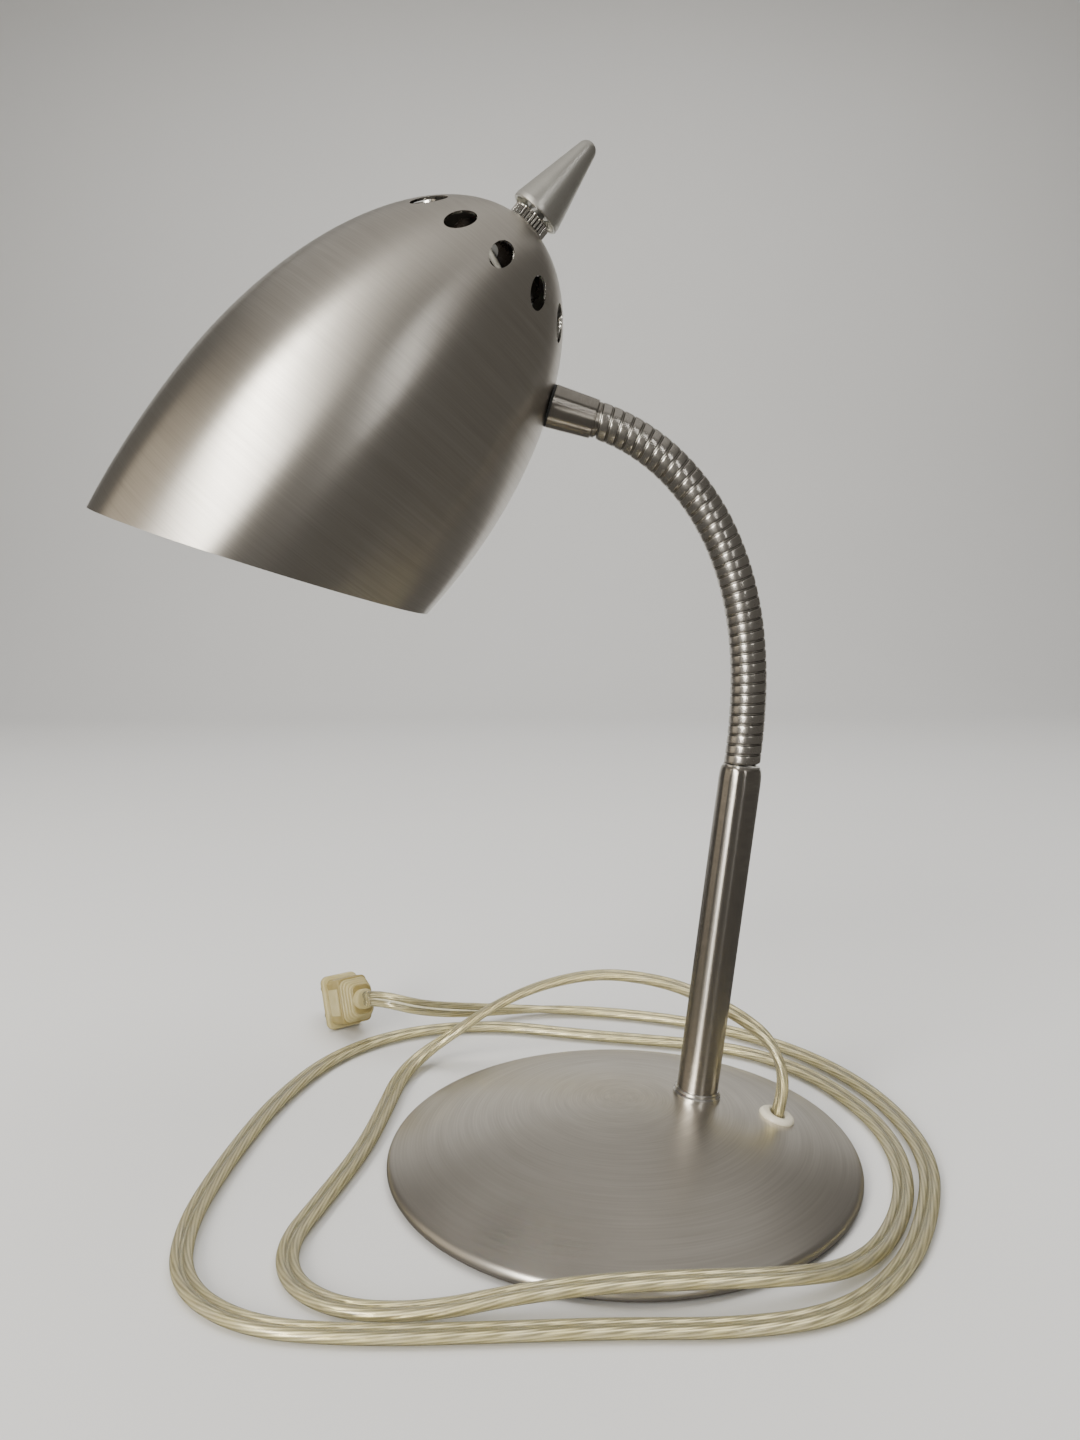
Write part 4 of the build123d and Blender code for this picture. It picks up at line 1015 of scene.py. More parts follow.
# ------------------------------------------------------------------ stem
@dataclass
class Stem:
    """Leaning stem with its collar and the ring that starts the coil.

    Attributes:
        plan: the lamp's main places.
        rise: height of the neck's first joint above the stem's top.
        gap: room between the ring and the first turn of the coil.
    """

    plan: LampPlan
    rise: float = 1.4
    length: float = 122.8
    radius: float = 7.5
    wall: float = 0.5
    tip_radius: float = 6.85
    tip_round: float = 5.5
    collar_radius: float = 8.7
    collar_step: float = 8.1
    collar_height: float = 3.0
    ring_radius: float = 6.6
    ring_edge: float = 0.2
    gap: float = 0.95

    @property
    def foot(self) -> Seat:
        """Return the seat at the stem's foot, looking up the stem."""
        return self.plan.stem_seat().at(-self.rise - self.length)

    def tube(self) -> None:
        """Build the tube."""
        bore = self.tip_radius - self.wall
        drop = 0.15
        tip = oval_arc(
            (self.tip_radius, self.length - self.tip_round),
            self.radius - self.tip_radius,
            self.tip_round - drop,
            0,
            80,
            10,
        )
        flank = [(self.radius, height) for height in (-1.0, 20.0, 60.0, 90.0)]
        mouth = [(self.tip_radius - 0.1, self.length), (bore, self.length), (bore, -1.0)]
        steel = polished_steel("stem_steel", self.foot)
        turning = Turning("stem", "stem_tube", "polished_steel", steel, "base", 128)
        turning.make(flank + tip + mouth, self.foot)

    def collar(self) -> None:
        """Build the stepped collar."""
        edge = 0.3
        stations = [
            (self.radius, self.collar_height),
            (self.collar_step - edge, self.collar_height),
            (self.collar_step, self.collar_height - edge),
            (self.collar_step, self.collar_height * 0.62),
            (self.collar_radius - edge, self.collar_height * 0.5),
            (self.collar_radius, self.collar_height * 0.4),
            (self.collar_radius + 0.1, -0.35),
            (self.radius, -0.6),
        ]
        turning = Turning("stem_collar_ring", "stem_collar", "polished_steel", Finish.NICKEL_EDGE, "base")
        turning.make(stations, self.foot)

    def ring(self) -> None:
        """Build the bright ring that carries the first turn of the coil."""
        high = self.rise - self.gap / 2
        edge = self.ring_edge
        stations = [
            (6.2, -6.0),
            (6.2, 0.0),
            (self.ring_radius - edge, 0.02),
            (self.ring_radius, edge),
            (self.ring_radius, high - edge),
            (self.ring_radius - 0.25, high),
            (5.9, high),
            (5.6, high - 0.5),
            (4.6, high - 0.9),
        ]
        turning = Turning("coil_seat", "neck_socket", "polished_steel", Finish.NICKEL_EDGE, "base")
        turning.make(stations, self.foot.at(self.length))

    def build(self) -> None:
        """Build the stem, the collar and the ring."""
        self.tube()
        self.collar()
        self.ring()
        LOG.info("stem: %.1f mm long", self.length)


# ------------------------------------------------------------------ gooseneck
@dataclass
class Gooseneck:
    """Coiled neck: a banded strip with a round wire in its groove, and an inner strip painted near black as
    shade down the grooves, bent along the neck's line.

    Attributes:
        plan: the lamp's main places.
        tail: how far the line runs on past both ends of the neck.
        steps: straight pieces in each turn.
    """

    plan: LampPlan
    band_radius: float = 6.35
    band_width: float = 2.86
    band_depth: float = 1.0
    band_round: float = 0.2
    band_crown: float = 0.03
    wire_radius: float = 0.22
    wire_crown: float = 6.14
    core_radius: float = 5.6
    core_depth: float = 0.6
    core_lap: float = 0.05
    tail: float = 20.0
    steps: int = 60

    def route(self) -> list[Vector]:
        """Return the line through the turns of the neck, longer at both ends."""
        points = self.plan.turn_points
        first, last = (self.plan.along(self.plan.turn_headings[end]) * self.tail * MM for end in (0, -1))
        return [points[0] - first] + points + [points[-1] + last]

    def band_outline(self) -> list[Station]:
        """Return the outline of the flat band, rounded outside."""
        half = self.band_width / 2
        r = self.band_round
        edge = self.band_radius - self.band_crown
        top = arc((edge - r, half - r), r, 90, 15, 3)
        bottom = arc((edge - r, -half + r), r, -15, -90, 3)
        flat = half - 1.4 * r
        shares = (0.8, 0.5, 0.2, -0.2, -0.5, -0.8)
        face = [(edge + self.band_crown * (1 - share * share), flat * share) for share in shares]
        inner = self.band_radius - self.band_depth
        return top + face + bottom + [(inner, -half + 0.1), (inner, half - 0.1)]

    def wire_outline(self) -> list[Station]:
        """Return the outline of the round wire in the groove beside the band."""
        middle = (self.wire_crown - self.wire_radius, self.plan.pitch / 2)
        return arc(middle, self.wire_radius, 0, 315, 7)

    def core_outline(self) -> list[Station]:
        """Return the outline of the strip that closes the coil inside; its near-black finish is painted
        shade in the grooves.
        """
        half = self.plan.pitch / 2 + self.core_lap
        low = self.core_radius - self.core_depth
        return [(self.core_radius, half), (self.core_radius, -half), (low, -half), (low, half)]

    def wound(self, name: str, outline: list[Station], finish: Finish) -> bpy.types.Object:
        """Return an outline wound into one link's turns about local Z.

        Args:
            name: name of the piece.
            outline: the section, as radius and place along the axis, in millimetres.
            finish: its finish.

        Returns:
            The wound strip.
        """
        turns = self.plan.turns_per_link
        piece = Bench.ring(name, MM, len(outline))
        for vert, (radius, height) in zip(piece.data.vertices, outline):
            vert.co = (radius * MM, 0.0, height * MM)
        screw = piece.modifiers.new("turns", "SCREW")
        screw.angle = 2 * math.pi * turns
        screw.screw_offset = self.plan.pitch * turns * MM
        screw.steps = screw.render_steps = self.steps * turns
        screw.use_smooth_shade = True
        Bench.apply_modifiers(piece)
        Bench.edit("DESELECT")
        Bench.fill_open_ends()
        paint(piece, finish)
        Bench.outward(piece)
        return piece

    def bent(self, piece: bpy.types.Object, route: list[Vector], start: float) -> None:
        """Bend a wound piece along the neck's line.

        Args:
            piece: the wound piece, from the local origin up.
            route: points of the neck's line, in metres.
            start: where it starts on the neck, in millimetres.
        """
        side = Vector((1.0, 0.0, 0.0))
        lengths = travelled(route)
        ways = [(there - here).normalized() for here, there in zip(route, route[1:])]

        def onto_line(place: Vector) -> Vector:
            """Return where a point comes to lie round the neck's line."""
            along = place.z + (start + self.tail) * MM
            index = 0
            while index < len(ways) - 1 and lengths[index + 1] < along:
                index += 1
            share = (along - lengths[index]) / (lengths[index + 1] - lengths[index])
            here = ways[index]
            low = (ways[max(index - 1, 0)] + here).normalized()
            high = (here + ways[min(index + 1, len(ways) - 1)]).normalized()
            across = low.lerp(high, share).normalized().cross(side).normalized()
            return route[index].lerp(route[index + 1], share) + side * place.x + across * place.y

        Bench.shape(piece, onto_line)

    def build(self) -> None:
        """Build every link of the coil."""
        route = self.route()
        sources = [
            self.wound("band", self.band_outline(), Finish.COIL),
            self.wound("wire", self.wire_outline(), Finish.COIL_WIRE),
            # the inner strip takes the near-black finish, painted shade seen down the grooves
            self.wound("core", self.core_outline(), Finish.COIL_CORE),
        ]
        links = len(self.plan.neck_points) - 1
        for number in range(1, links + 1):
            strips = []
            for source in sources:
                strip = Bench.placed(source.name, source.data.copy())
                Bench.seat(strip, Matrix.Rotation(math.pi, 4, "Z"))
                self.bent(strip, route, (number - 1) * self.plan.turns_per_link * self.plan.pitch)
                strips.append(strip)
            coil = Bench.join(strips, f"coil_{number:02d}")
            Bench.smooth(coil, 40)
            link = f"neck_link_{number:02d}"
            mount(coil, link, "coil_steel", link)
        for source in sources:
            bpy.data.objects.remove(source, do_unlink=True)
        LOG.info("gooseneck: %d links", links)


# ------------------------------------------------------------------ shade and what it carries
@dataclass
class Shade:
    """Bullet shade with an oblique mouth and vents round its apex.

    Attributes:
        plan: the lamp's main places.
        radius: radius at the widest ring.
        front: length from the apex to the widest ring.
        back: half-length of the oval beyond the widest ring.
        flat: depth of the nose that is cut off flat for the switch.
        length: length from the apex to the middle of the mouth.
        slant: slant of the mouth, in degrees.
        vent_station: place of the vents' middles along the axis.
        vent_size: length and width of a vent.
        vent_phase: turn of the first vent, in degrees.
        bore: radius of the hole for the switch.
        edge: rounding of the mouth's, the bore's and the vents' edges.
    """

    plan: LampPlan
    radius: float = 57.6
    front: float = 109.8
    back: float = 144.3
    wall: float = 0.9
    flat: float = 0.8
    length: float = 146.0
    slant: float = 22.2
    vents: int = 12
    vent_station: float = 19.0
    vent_size: tuple[float, float] = (13.2, 7.4)
    vent_phase: float = -12.0
    bore: float = 5.3
    edge: float = 0.2

    @property
    def seat(self) -> Seat:
        """Return the seat at the apex, looking out of the mouth."""
        return self.plan.shade_seat()

    @property
    def skirt_reach(self) -> float:
        """Return how far the turned skirt runs past the widest ring, in millimetres."""
        return self.length - self.front

    def outline(self, inset: float) -> list[Station]:
        """Return the stations of one face of the shade.

        Args:
            inset: how far the face lies inside the outer one, in millimetres.

        Returns:
            Stations from the apex flat to beyond the mouth.
        """
        centre = (0, self.front)
        radius, front, back = self.radius - inset, self.front - inset, self.back - inset
        first = -math.degrees(math.asin(1 - self.flat / front))
        last = math.degrees(math.asin(self.skirt_reach / back))
        nose = oval_arc(centre, radius, front, first, -45, 30)
        side = oval_arc(centre, radius, front, -45, 0, 22)[1:]
        skirt = oval_arc(centre, radius, back, 0, last, 12)[1:]
        return nose + side + skirt

    def vent_cutter(self) -> bpy.types.Object:
        """Return the cutters of all the vents as one piece, in the shade's own frame."""
        up = Vector((0, 0, 1))
        turn = math.acos(1 - self.vent_station / self.front)
        ring = self.radius * math.sin(turn)
        flare = math.atan(self.radius * math.cos(turn) / (self.front * math.sin(turn)))
        reach = 8 * MM
        cutters = []
        for index in range(self.vents):
            around = math.radians(self.vent_phase + index * 360 / self.vents)
            outward = Vector((math.cos(around), math.sin(around), 0))
            normal = outward * math.cos(flare) - up * math.sin(flare)
            way = up * math.cos(flare) + outward * math.sin(flare)
            Bench.clear()
            bpy.ops.mesh.primitive_cylinder_add(vertices=48, radius=1, depth=1)
            cutter = Bench.named("vent_cutter")
            cutter.scale = (self.vent_size[0] / 2 * MM, self.vent_size[1] / 2 * MM, reach)
            bpy.ops.object.transform_apply(location=False, rotation=False, scale=True)
            Bench.seat(cutter, Seat((outward * ring + up * self.vent_station) * MM, normal, way).matrix())
            cutters.append(cutter)
        return Bench.join(cutters, "vent_cutter")

    def bowl(self) -> bpy.types.Object:
        """Return the shade's wall with its oblique mouth and its vents."""
        stations = [(self.bore, self.flat)] + self.outline(0.0) + self.outline(self.wall)[::-1]
        stations.append((self.bore, self.flat + self.wall))
        bowl = Bench.turned("shade_bowl", stations, UPRIGHT, 192, closed=True)
        Bench.shape(bowl, self.slanted)
        cutter = self.vent_cutter()
        cut = bowl.modifiers.new("vents", "BOOLEAN")
        cut.operation = "DIFFERENCE"
        cut.solver = "EXACT"
        cut.object = cutter
        Bench.apply_modifiers(bowl)
        bpy.data.objects.remove(cutter, do_unlink=True)
        Bench.bevel(bowl, self.edge, 2, 50)
        Bench.seat(bowl, self.seat.matrix())
        Bench.smooth(bowl, 30)
        even = bowl.modifiers.new("even_shading", "WEIGHTED_NORMAL")
        even.keep_sharp = True
        even.weight = 90
        Bench.apply_modifiers(bowl)
        return bowl

    def slanted(self, place: Vector) -> Vector:
        """Return a point of the shade with the skirt stretched to end in the oblique mouth.

        Args:
            place: the point, in metres in the shade's own frame.

        Returns:
            The point's new place, which follows the skirt's own oval.
        """
        past = place.z / MM - self.front
        if past <= 0.01:
            return place
        across = math.hypot(place.x, place.y) / MM
        inside = across < self.radius * math.sqrt(1 - (past / self.back) ** 2) - self.wall / 2
        wide = self.radius - self.wall * inside
        deep = self.back - self.wall * inside
        steepness = place.y / MM / across * math.tan(math.radians(self.slant))
        reach = self.skirt_reach
        for _ in range(20):
            reach = self.skirt_reach + steepness * wide * math.sqrt(1 - (reach / deep) ** 2)
        reach *= past / self.skirt_reach
        grow = wide * math.sqrt(1 - (reach / deep) ** 2) / across
        return Vector((place.x * grow, place.y * grow, (self.front + reach) * MM))

    def dress_bowl(self, bowl: bpy.types.Object) -> None:
        """Give the shade its brushed outside, its bright edges and its plain dull inside.

        Args:
            bowl: the shade's wall, in place.
        """
        seat = self.seat
        nickel = brushed_nickel("brushed_nickel_shade", seat, 0.31, 0.345, 0.72)
        paint(bowl, nickel, Finish.NICKEL_EDGE, Finish.LINING)
        outside, edge, inside = range(3)  # a face within 60 degrees of the skin is outside or inside
        to_local = seat.matrix().inverted()
        for face in bowl.data.polygons:
            centre = (to_local @ face.center) / MM
            past = centre.z - self.front
            half = self.front if past < 0 else self.back
            skin = Vector((centre.x, centre.y, past * (self.radius / half) ** 2)).normalized()
            facing = skin.dot(to_local.to_3x3() @ face.normal)
            face.material_index = outside if facing > 0.5 else inside if facing < -0.5 else edge

    def build(self) -> None:
        """Build and dress the shade."""
        bowl = self.bowl()
        self.dress_bowl(bowl)
        mount(bowl, "head", "nickel_shade", "shade")
        LOG.info("shade: %d faces", len(bowl.data.polygons))


@dataclass
class Ferrule:
    """Tapered sleeve that holds the shade to the neck, with its black gasket.

    Attributes:
        plan: the lamp's main places.
        start: where the stepped ring starts past the neck's last joint.
        ring: length of the stepped ring.
        sleeve: length of the taper.
        brim: radius of its wide end.
    """

    plan: LampPlan
    start: float = 0.475
    ring: float = 1.2
    ring_radius: float = 6.15
    edge: float = 0.2
    sleeve: float = 14.9
    foot: float = 6.7
    brim: float = 7.5
    gasket_bore: float = 5.2
    gasket: float = 0.9

    def build(self) -> None:
        """Build the ferrule and its gasket."""
        seat = self.plan.ferrule_seat()
        low, step = self.start, self.start + self.ring
        end = step + self.sleeve
        seam = end + 0.7
        step_radius = self.ring_radius - self.edge
        sleeve = [
            (4.6, low - 0.9),
            (5.7, low - 0.3),
            (5.72, low),
            (step_radius, low),
            (self.ring_radius, low + self.edge),
            (self.ring_radius, step - self.edge),
            (step_radius, step),
            (self.foot - 0.3, step + 0.02),
            (self.foot, step + 0.3),
            (self.foot + 0.08, step + 1.2),
            (self.brim - 0.03, end + 0.35),
            (self.brim, end + 0.55),
            (self.brim - self.edge, seam),
            (5.0, seam),
        ]
        steel = polished_steel("ferrule_steel", seat)
        Turning("ferrule_sleeve", "head_ferrule", "polished_steel", steel).make(sleeve, seat)
        outer = self.brim - self.edge
        gasket = [
            (self.gasket_bore, seam),
            (outer - 0.1, seam),
            (outer, seam + 0.1),
            (outer, seam + self.gasket - 0.1),
            (self.gasket_bore, seam + self.gasket),
        ]
        Turning("shade_gasket", "ferrule_gasket", "gasket_black", Finish.BLACK).make(gasket, seat)


@dataclass
class Switch:
    """Knurled ring nut at the shade's apex and the cone-shaped knob beyond it.

    Attributes:
        shade: the shade that it stands on.
        rib_depth: depth of the knurl, as a share of the nut's radius.
        gap: room between the nut and the knob.
        nose: radius of the knob's round end.
        skirt: length of the knob's straight foot.
        shaft: radius of the hole for the shaft.
    """

    shade: Shade
    nut_radius: float = 7.0
    nut_bore: float = 5.1
    nut_height: float = 4.2
    ribs: int = 32
    rib_depth: float = 0.09
    gap: float = 1.1
    length: float = 30.0
    radius: float = 9.0
    nose: float = 3.4
    skirt: float = 1.6
    hollow: float = 9.0
    shaft: float = 3.05

    def ring_nut(self) -> None:
        """Build the knurled ring nut, with painted shade in its valleys."""
        seat = self.shade.seat
        foot = self.shade.flat
        top = foot - self.nut_height
        edge = 0.25
        stations = [
            (self.nut_bore, foot),
            (self.nut_radius - 0.2, foot),
            (self.nut_radius, foot - edge),
            (self.nut_radius, foot - 2 * edge),
            (self.nut_radius, top + 2 * edge),
            (self.nut_radius, top + edge),
            (self.nut_radius - edge, top),
            (self.nut_bore, top),
        ]

        def knurled(place: Vector) -> Vector:
            """Return a point of the nut's side drawn in to the knurl."""
            wave = 0.5 - 0.5 * math.cos(math.atan2(place.y, place.x) * self.ribs)
            on_side = math.hypot(place.x, place.y) > (self.nut_radius - 0.1) * MM
            if on_side and top + 0.4 < place.z / MM < foot - 0.4:
                place.xy *= 1 - self.rib_depth * wave
            return place

        nut = Bench.turned("knurled_nut", stations, seat, 6 * self.ribs, closed=True)
        Bench.shape(nut, knurled, seat)
        Bench.smooth(nut, 20)
        paint(nut, Finish.NICKEL_EDGE, Finish.COIL_CORE)
        # faces in the knurl's valleys take the near-black second finish as painted shade
        to_local = seat.matrix().inverted()
        for face in nut.data.polygons:
            centre = (to_local @ face.center) / MM
            on_side = abs((to_local.to_3x3() @ face.normal).z) < 0.5
            painted_shade_valley = 6.2 < math.hypot(centre.x, centre.y) < 6.68
            if on_side and painted_shade_valley and top + 0.5 < centre.z < foot - 0.5:
                face.material_index = 1
        mount(nut, "head", "polished_steel", "ring_nut")

    def knob(self) -> None:
        """Build the cone-shaped switch knob."""
        edge = self.shade.flat - self.nut_height - self.gap
        skirt = edge - self.skirt
        centre = edge - self.length + self.nose
        reach = math.hypot(self.radius, skirt - centre)
        tangent = math.acos(self.nose / reach) + math.atan2(self.radius, skirt - centre)
        crown = arc((0, centre), self.nose, -90, 90 - math.degrees(tangent), 14)
        first, last = Vector(crown[-1]), Vector((self.radius - 0.05, skirt - 0.3))
        cone = [tuple(first.lerp(last, step / 12)) for step in range(1, 13)]
        lip = [
            (self.radius, skirt),
            (self.radius, edge - 0.25),
            (self.radius - 0.2, edge),
            (8.1, edge),
            (7.9, edge - 0.25),
        ]
        bore = [
            (6.9, edge - self.hollow),
            (4.6, edge - self.hollow),
            (4.6, edge - self.skirt),
            (4.4, edge - 1.4),
            (self.shaft, edge - 1.4),
            (self.shaft, edge - 4.0),
        ]
        turning = Turning("switch_cone", "knob", "knob_metal", Finish.SATIN, "knob", closed=False)
        turning.make(crown + cone + lip + bore, self.shade.seat)

    def build(self) -> None:
        """Build the nut and the knob."""
        self.ring_nut()
        self.knob()


@dataclass
class Lampholder:
    """Lampholder with the rotary switch, and the bulb in it.

    Attributes:
        shade: the shade that it hangs in.
        shoulder: height of the housing's short cone at its neck.
        cone: height of its long cone.
        floor: height from the cones to the holder's floor.
        barrel: depth of the holder.
        bulb_lift: room between the floor and the bulb.
        overlap: angle of the globe below its middle, in degrees, where its neck starts.
    """

    shade: Shade
    shoulder: float = 4.6
    cone: float = 8.0
    floor: float = 8.0
    barrel: float = 26.0
    radius: float = 18.0
    edge: float = 0.4
    lining: float = 15.2
    shell_radius: float = 13.85
    shell_wall: float = 0.3
    shell_length: float = 25.9
    shell_thread: tuple[float, int] = (0.35, 7)
    bulb_lift: float = 1.6
    cap_length: float = 23.0
    cap_radius: float = 12.5
    cap_thread: tuple[float, int] = (0.32, 6)
    neck_radius: float = 13.6
    bulb_length: float = 84.0
    globe_radius: float = 30.0
    overlap: float = 20.0

    @property
    def floor_end(self) -> float:
        """Return the place of the holder's floor along the shade's axis."""
        return self.shade.flat + self.shade.wall + self.shoulder + self.cone + self.floor

    @property
    def bulb_start(self) -> float:
        """Return the place of the bulb's foot along the shade's axis."""
        return self.floor_end + self.bulb_lift

    @property
    def cap_end(self) -> float:
        """Return the place where the bulb's cap ends and its glass starts."""
        return self.bulb_start + self.cap_length

    @staticmethod
    def thread(
        radius: float, form: tuple[float, int], start: float, length: float, phase: float
    ) -> list[Station]:
        """Return the stations of a rolled thread.

        Args:
            radius: its middle radius, in millimetres.
            form: its depth, in millimetres, and its number of turns.
            start: where it starts along the axis.
            length: its length.
            phase: where its wave starts, in radians.

        Returns:
            Eight stations for each turn, and one at the end.
        """
        depth, turns = form
        shares = [row / (8 * turns) for row in range(8 * turns + 1)]
        return [
            (radius + depth * math.sin(phase + 2 * math.pi * turns * share), start + length * share)
            for share in shares
        ]

    def housing(self) -> None:
        """Build the moulded housing."""
        top = self.shade.flat + self.shade.wall
        cone_end = top + self.shoulder + self.cone
        end = self.floor_end + self.barrel
        groove = self.radius - self.edge
        stations = [
            (5.2, top),
            (6.3, top),
            (11.0, top + self.shoulder),
            (groove, cone_end - 0.6),
            (self.radius, cone_end),
            (self.radius, end - 7.0),
            (groove, end - 6.8),
            (groove, end - 6.0),
            (self.radius, end - 5.8),
            (self.radius, end - self.edge),
            (groove, end),
            (self.lining + 0.2, end),
            (self.lining, end - 0.2),
            (self.lining, self.floor_end),
            (TINY, self.floor_end),
        ]
        turning = Turning("switch_body", "switch_housing", "phenolic", Finish.PHENOLIC, closed=False)
        turning.make(stations, self.shade.seat)

    def threaded_shell(self) -> None:
        """Build the holder's threaded shell."""
        inner = self.thread(self.shell_radius, self.shell_thread, self.floor_end, self.shell_length, 0.0)
        outer = [(radius - self.shell_wall, height) for radius, height in reversed(inner)]
        turning = Turning("thread_shell", "socket_shell", "socket_metal", Finish.SOCKET, crease=60)
        turning.make(inner + outer, self.shade.seat)

    def cap(self) -> None:
        """Build the bulb's threaded cap."""
        start, end = self.bulb_start, self.cap_end
        foot = [(TINY, start), (3.6, start), (4.6, start + 0.5), (12.0, start + 4.4)]
        thread = self.thread(self.cap_radius, self.cap_thread, start + 4.6, 17.4, math.pi / 2)
        rim = [(self.cap_radius + 0.4, end - 0.6), (self.cap_radius + 0.4, end)]
        turning = Turning("bulb_cap", "bulb_base", "socket_metal", Finish.SOCKET, closed=False, crease=60)
        turning.make(foot + thread + rim, self.shade.seat)

    def globe(self) -> None:
        """Build the bulb's frosted globe on its neck."""
        start = self.cap_end
        centre = start + self.bulb_length - self.globe_radius
        crown = arc((0, centre), self.globe_radius, -self.overlap, 90, 28)
        neck, joint = Vector((self.neck_radius, start)), Vector(crown[0])
        span = (joint - neck).length
        leave = Vector((0.0, span))
        arrive = Vector((math.sin(math.radians(self.overlap)), math.cos(math.radians(self.overlap)))) * span
        flank = []
        for row in range(1, 20):
            t = row / 20
            blend = 3 * t**2 - 2 * t**3
            bend = leave * (t**3 - 2 * t**2 + t) + arrive * (t**3 - t**2)
            flank.append(tuple(neck.lerp(joint, blend) + bend))
        foot = [(self.cap_radius + 0.4, start - 0.5), (self.neck_radius, start)]
        turning = Turning("bulb_glass", "bulb_globe", "bulb_glass", Finish.GLASS, closed=False, crease=60)
        turning.make(foot + flank + crown, self.shade.seat)

    def build(self, frame: dict) -> None:
        """Build the lampholder and the bulb, and dress what they hold.

        Args:
            frame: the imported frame.
        """
        self.housing()
        self.threaded_shell()
        self.cap()
        self.globe()
        dress(frame, Finish.LINER, "socket_insulator")
        dress(frame, Finish.BRASS, "centre_contact", "terminal_screw_back")
        dress(frame, Finish.ZINC, "terminal_screw_front", "switch_shaft", "switch_bushing")
        dress(frame, Finish.ZINC, "ferrule_nipple", "ferrule_washer", "ferrule_nut")
        dress(frame, Finish.WIRE, "lead_live", "lead_neutral")
        LOG.info("lampholder: floor %.1f mm from the apex", self.floor_end)


# ------------------------------------------------------------------ cord and plug
@dataclass
class Plug:
    """Moulded two-blade plug, lying nose down on its flange.

    Attributes:
        face: middle of the face that the blades stand on.
        heading: way from the face to the cord, in degrees from +Y toward +X.
        tilt: how far that way rises, in degrees.
        thick: width of the flange.
        tall: height of the flange.
        flange: length of the flange; block, grip and nub follow it toward the cord.
        bite: how far the block reaches into the flange.
        rib: length of a rib.
        rib_size: width and height of the rib nearest the block.
        rib_taper: how much narrower and lower each rib is than the one before it.
    """

    face: tuple[float, float, float] = (-127.0, -125.6, 11.854)
    heading: float = 55.0
    tilt: float = 18.5
    thick: float = 18.0
    tall: float = 25.0
    flange: float = 3.6
    block: float = 13.6
    grip: float = 8.6
    grip_size: tuple[float, float] = (9.2, 13.4)
    nub: float = 4.2
    nub_radius: float = 4.6
    bite: float = 0.4
    ribs: int = 4
    rib: float = 1.15
    rib_size: tuple[float, float] = (14.0, 19.6)
    rib_taper: tuple[float, float] = (1.05, 1.575)
    blades: tuple[str, str] = ("plug_blade_upper", "plug_blade_lower")

    @property
    def length(self) -> float:
        """Return the length from the face to the cord, in millimetres."""
        return self.flange + self.block + self.grip + self.nub

    @property
    def seat(self) -> Seat:
        """Return the seat at the face, looking toward the cord, with its local Y down."""
        turn = math.radians(self.heading)
        rise = math.radians(self.tilt)
        level = Vector((math.sin(turn), math.cos(turn), 0.0))
        way = level * math.cos(rise) + Vector((0.0, 0.0, math.sin(rise)))
        return Seat(Vector(self.face) * MM, way, Vector((math.cos(turn), -math.sin(turn), 0.0)))

    def slab(
        self, name: str, size: tuple[float, float], start: float, end: float, corner: float, edge: float
    ) -> bpy.types.Object:
        """Return a slab with round corners, square to the plug's length.

        Args:
            name: name of the piece.
            size: width and height, in millimetres.
            start: where it starts along the plug.
            end: where it ends.
            corner: radius of its corners.
            edge: radius of its edges.

        Returns:
            The slab, in the plug's own frame.
        """
        Bench.clear()
        bpy.ops.mesh.primitive_cube_add(size=1, location=(0, 0, (start + end) / 2 * MM))
        piece = Bench.named(name)
        piece.scale = (size[0] * MM, size[1] * MM, (end - start) * MM)
        bpy.ops.object.transform_apply(location=True, rotation=True, scale=True)
        Bench.edit("DESELECT")
        Bench.select_edges(piece, lambda here, there: abs(here.z - there.z) > TINY * MM)
        bpy.ops.mesh.bevel(offset=corner * MM, segments=8, affect="EDGES")
        Bench.leave_edit()
        Bench.bevel(piece, edge, 3, 40)
        return piece

    def nub_piece(self, start: float) -> bpy.types.Object:
        """Return the round nub that the cord comes out of.

        Args:
            start: where it starts along the plug.

        Returns:
            The nub, in the plug's own frame.
        """
        stations = [
            (4.0, start - 1.0),
            (self.nub_radius, start - 0.6),
            (self.nub_radius, self.length - 0.8),
            (self.nub_radius - 0.3, self.length - 0.2),
            (self.nub_radius - 0.9, self.length),
            (3.0, self.length),
            (TINY, self.length - 0.3),
        ]
        return Bench.turned("nub", stations, UPRIGHT, 48)

    def parts(self) -> list[bpy.types.Object]:
        """Return the moulding's parts in the plug's own frame, the flange first."""
        width, height, flange = self.thick, self.tall, self.flange
        block_end = flange + self.block
        grip_end = block_end + self.grip
        inset = 1.8
        parts = [
            self.slab("flange", (width, height), 0.0, flange, 3.2, 0.8),
            self.slab("block", (width - 3.4, height - 3.6), flange - self.bite, block_end, 2.6, 0.8),
            self.slab("panel", (width - 2.2, height / 2), flange + inset, block_end - inset, 0.6, 0.4),
            self.slab("grip", self.grip_size, block_end - 0.5, grip_end, 3.0, 0.6),
        ]
        for rib in range(self.ribs):
            start = block_end + 0.45 + self.grip / self.ribs * rib
            wide, high = (full - rib * less for full, less in zip(self.rib_size, self.rib_taper))
            parts.append(self.slab(f"rib_{rib}", (wide, high), start, start + self.rib, 3.2, 0.5))
        return parts + [self.nub_piece(grip_end)]

    def build(self, frame: dict) -> bpy.types.Object:
        """Build the plug.

        Args:
            frame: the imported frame.

        Returns:
            The plug's moulding.
        """
        parts = self.parts()
        for part in parts:
            paint(part, Finish.PLUG_CORE if part.name in ("block", "grip") else Finish.PLUG_VINYL)
        moulding = Bench.join(parts, "plug_moulding")
        Bench.seat(moulding, self.seat.matrix())
        Bench.smooth(moulding, 35)
        mount(moulding, "base", "plug_gold", "plug_body")
        dress(frame, Finish.BLADE, *self.blades)
        return moulding


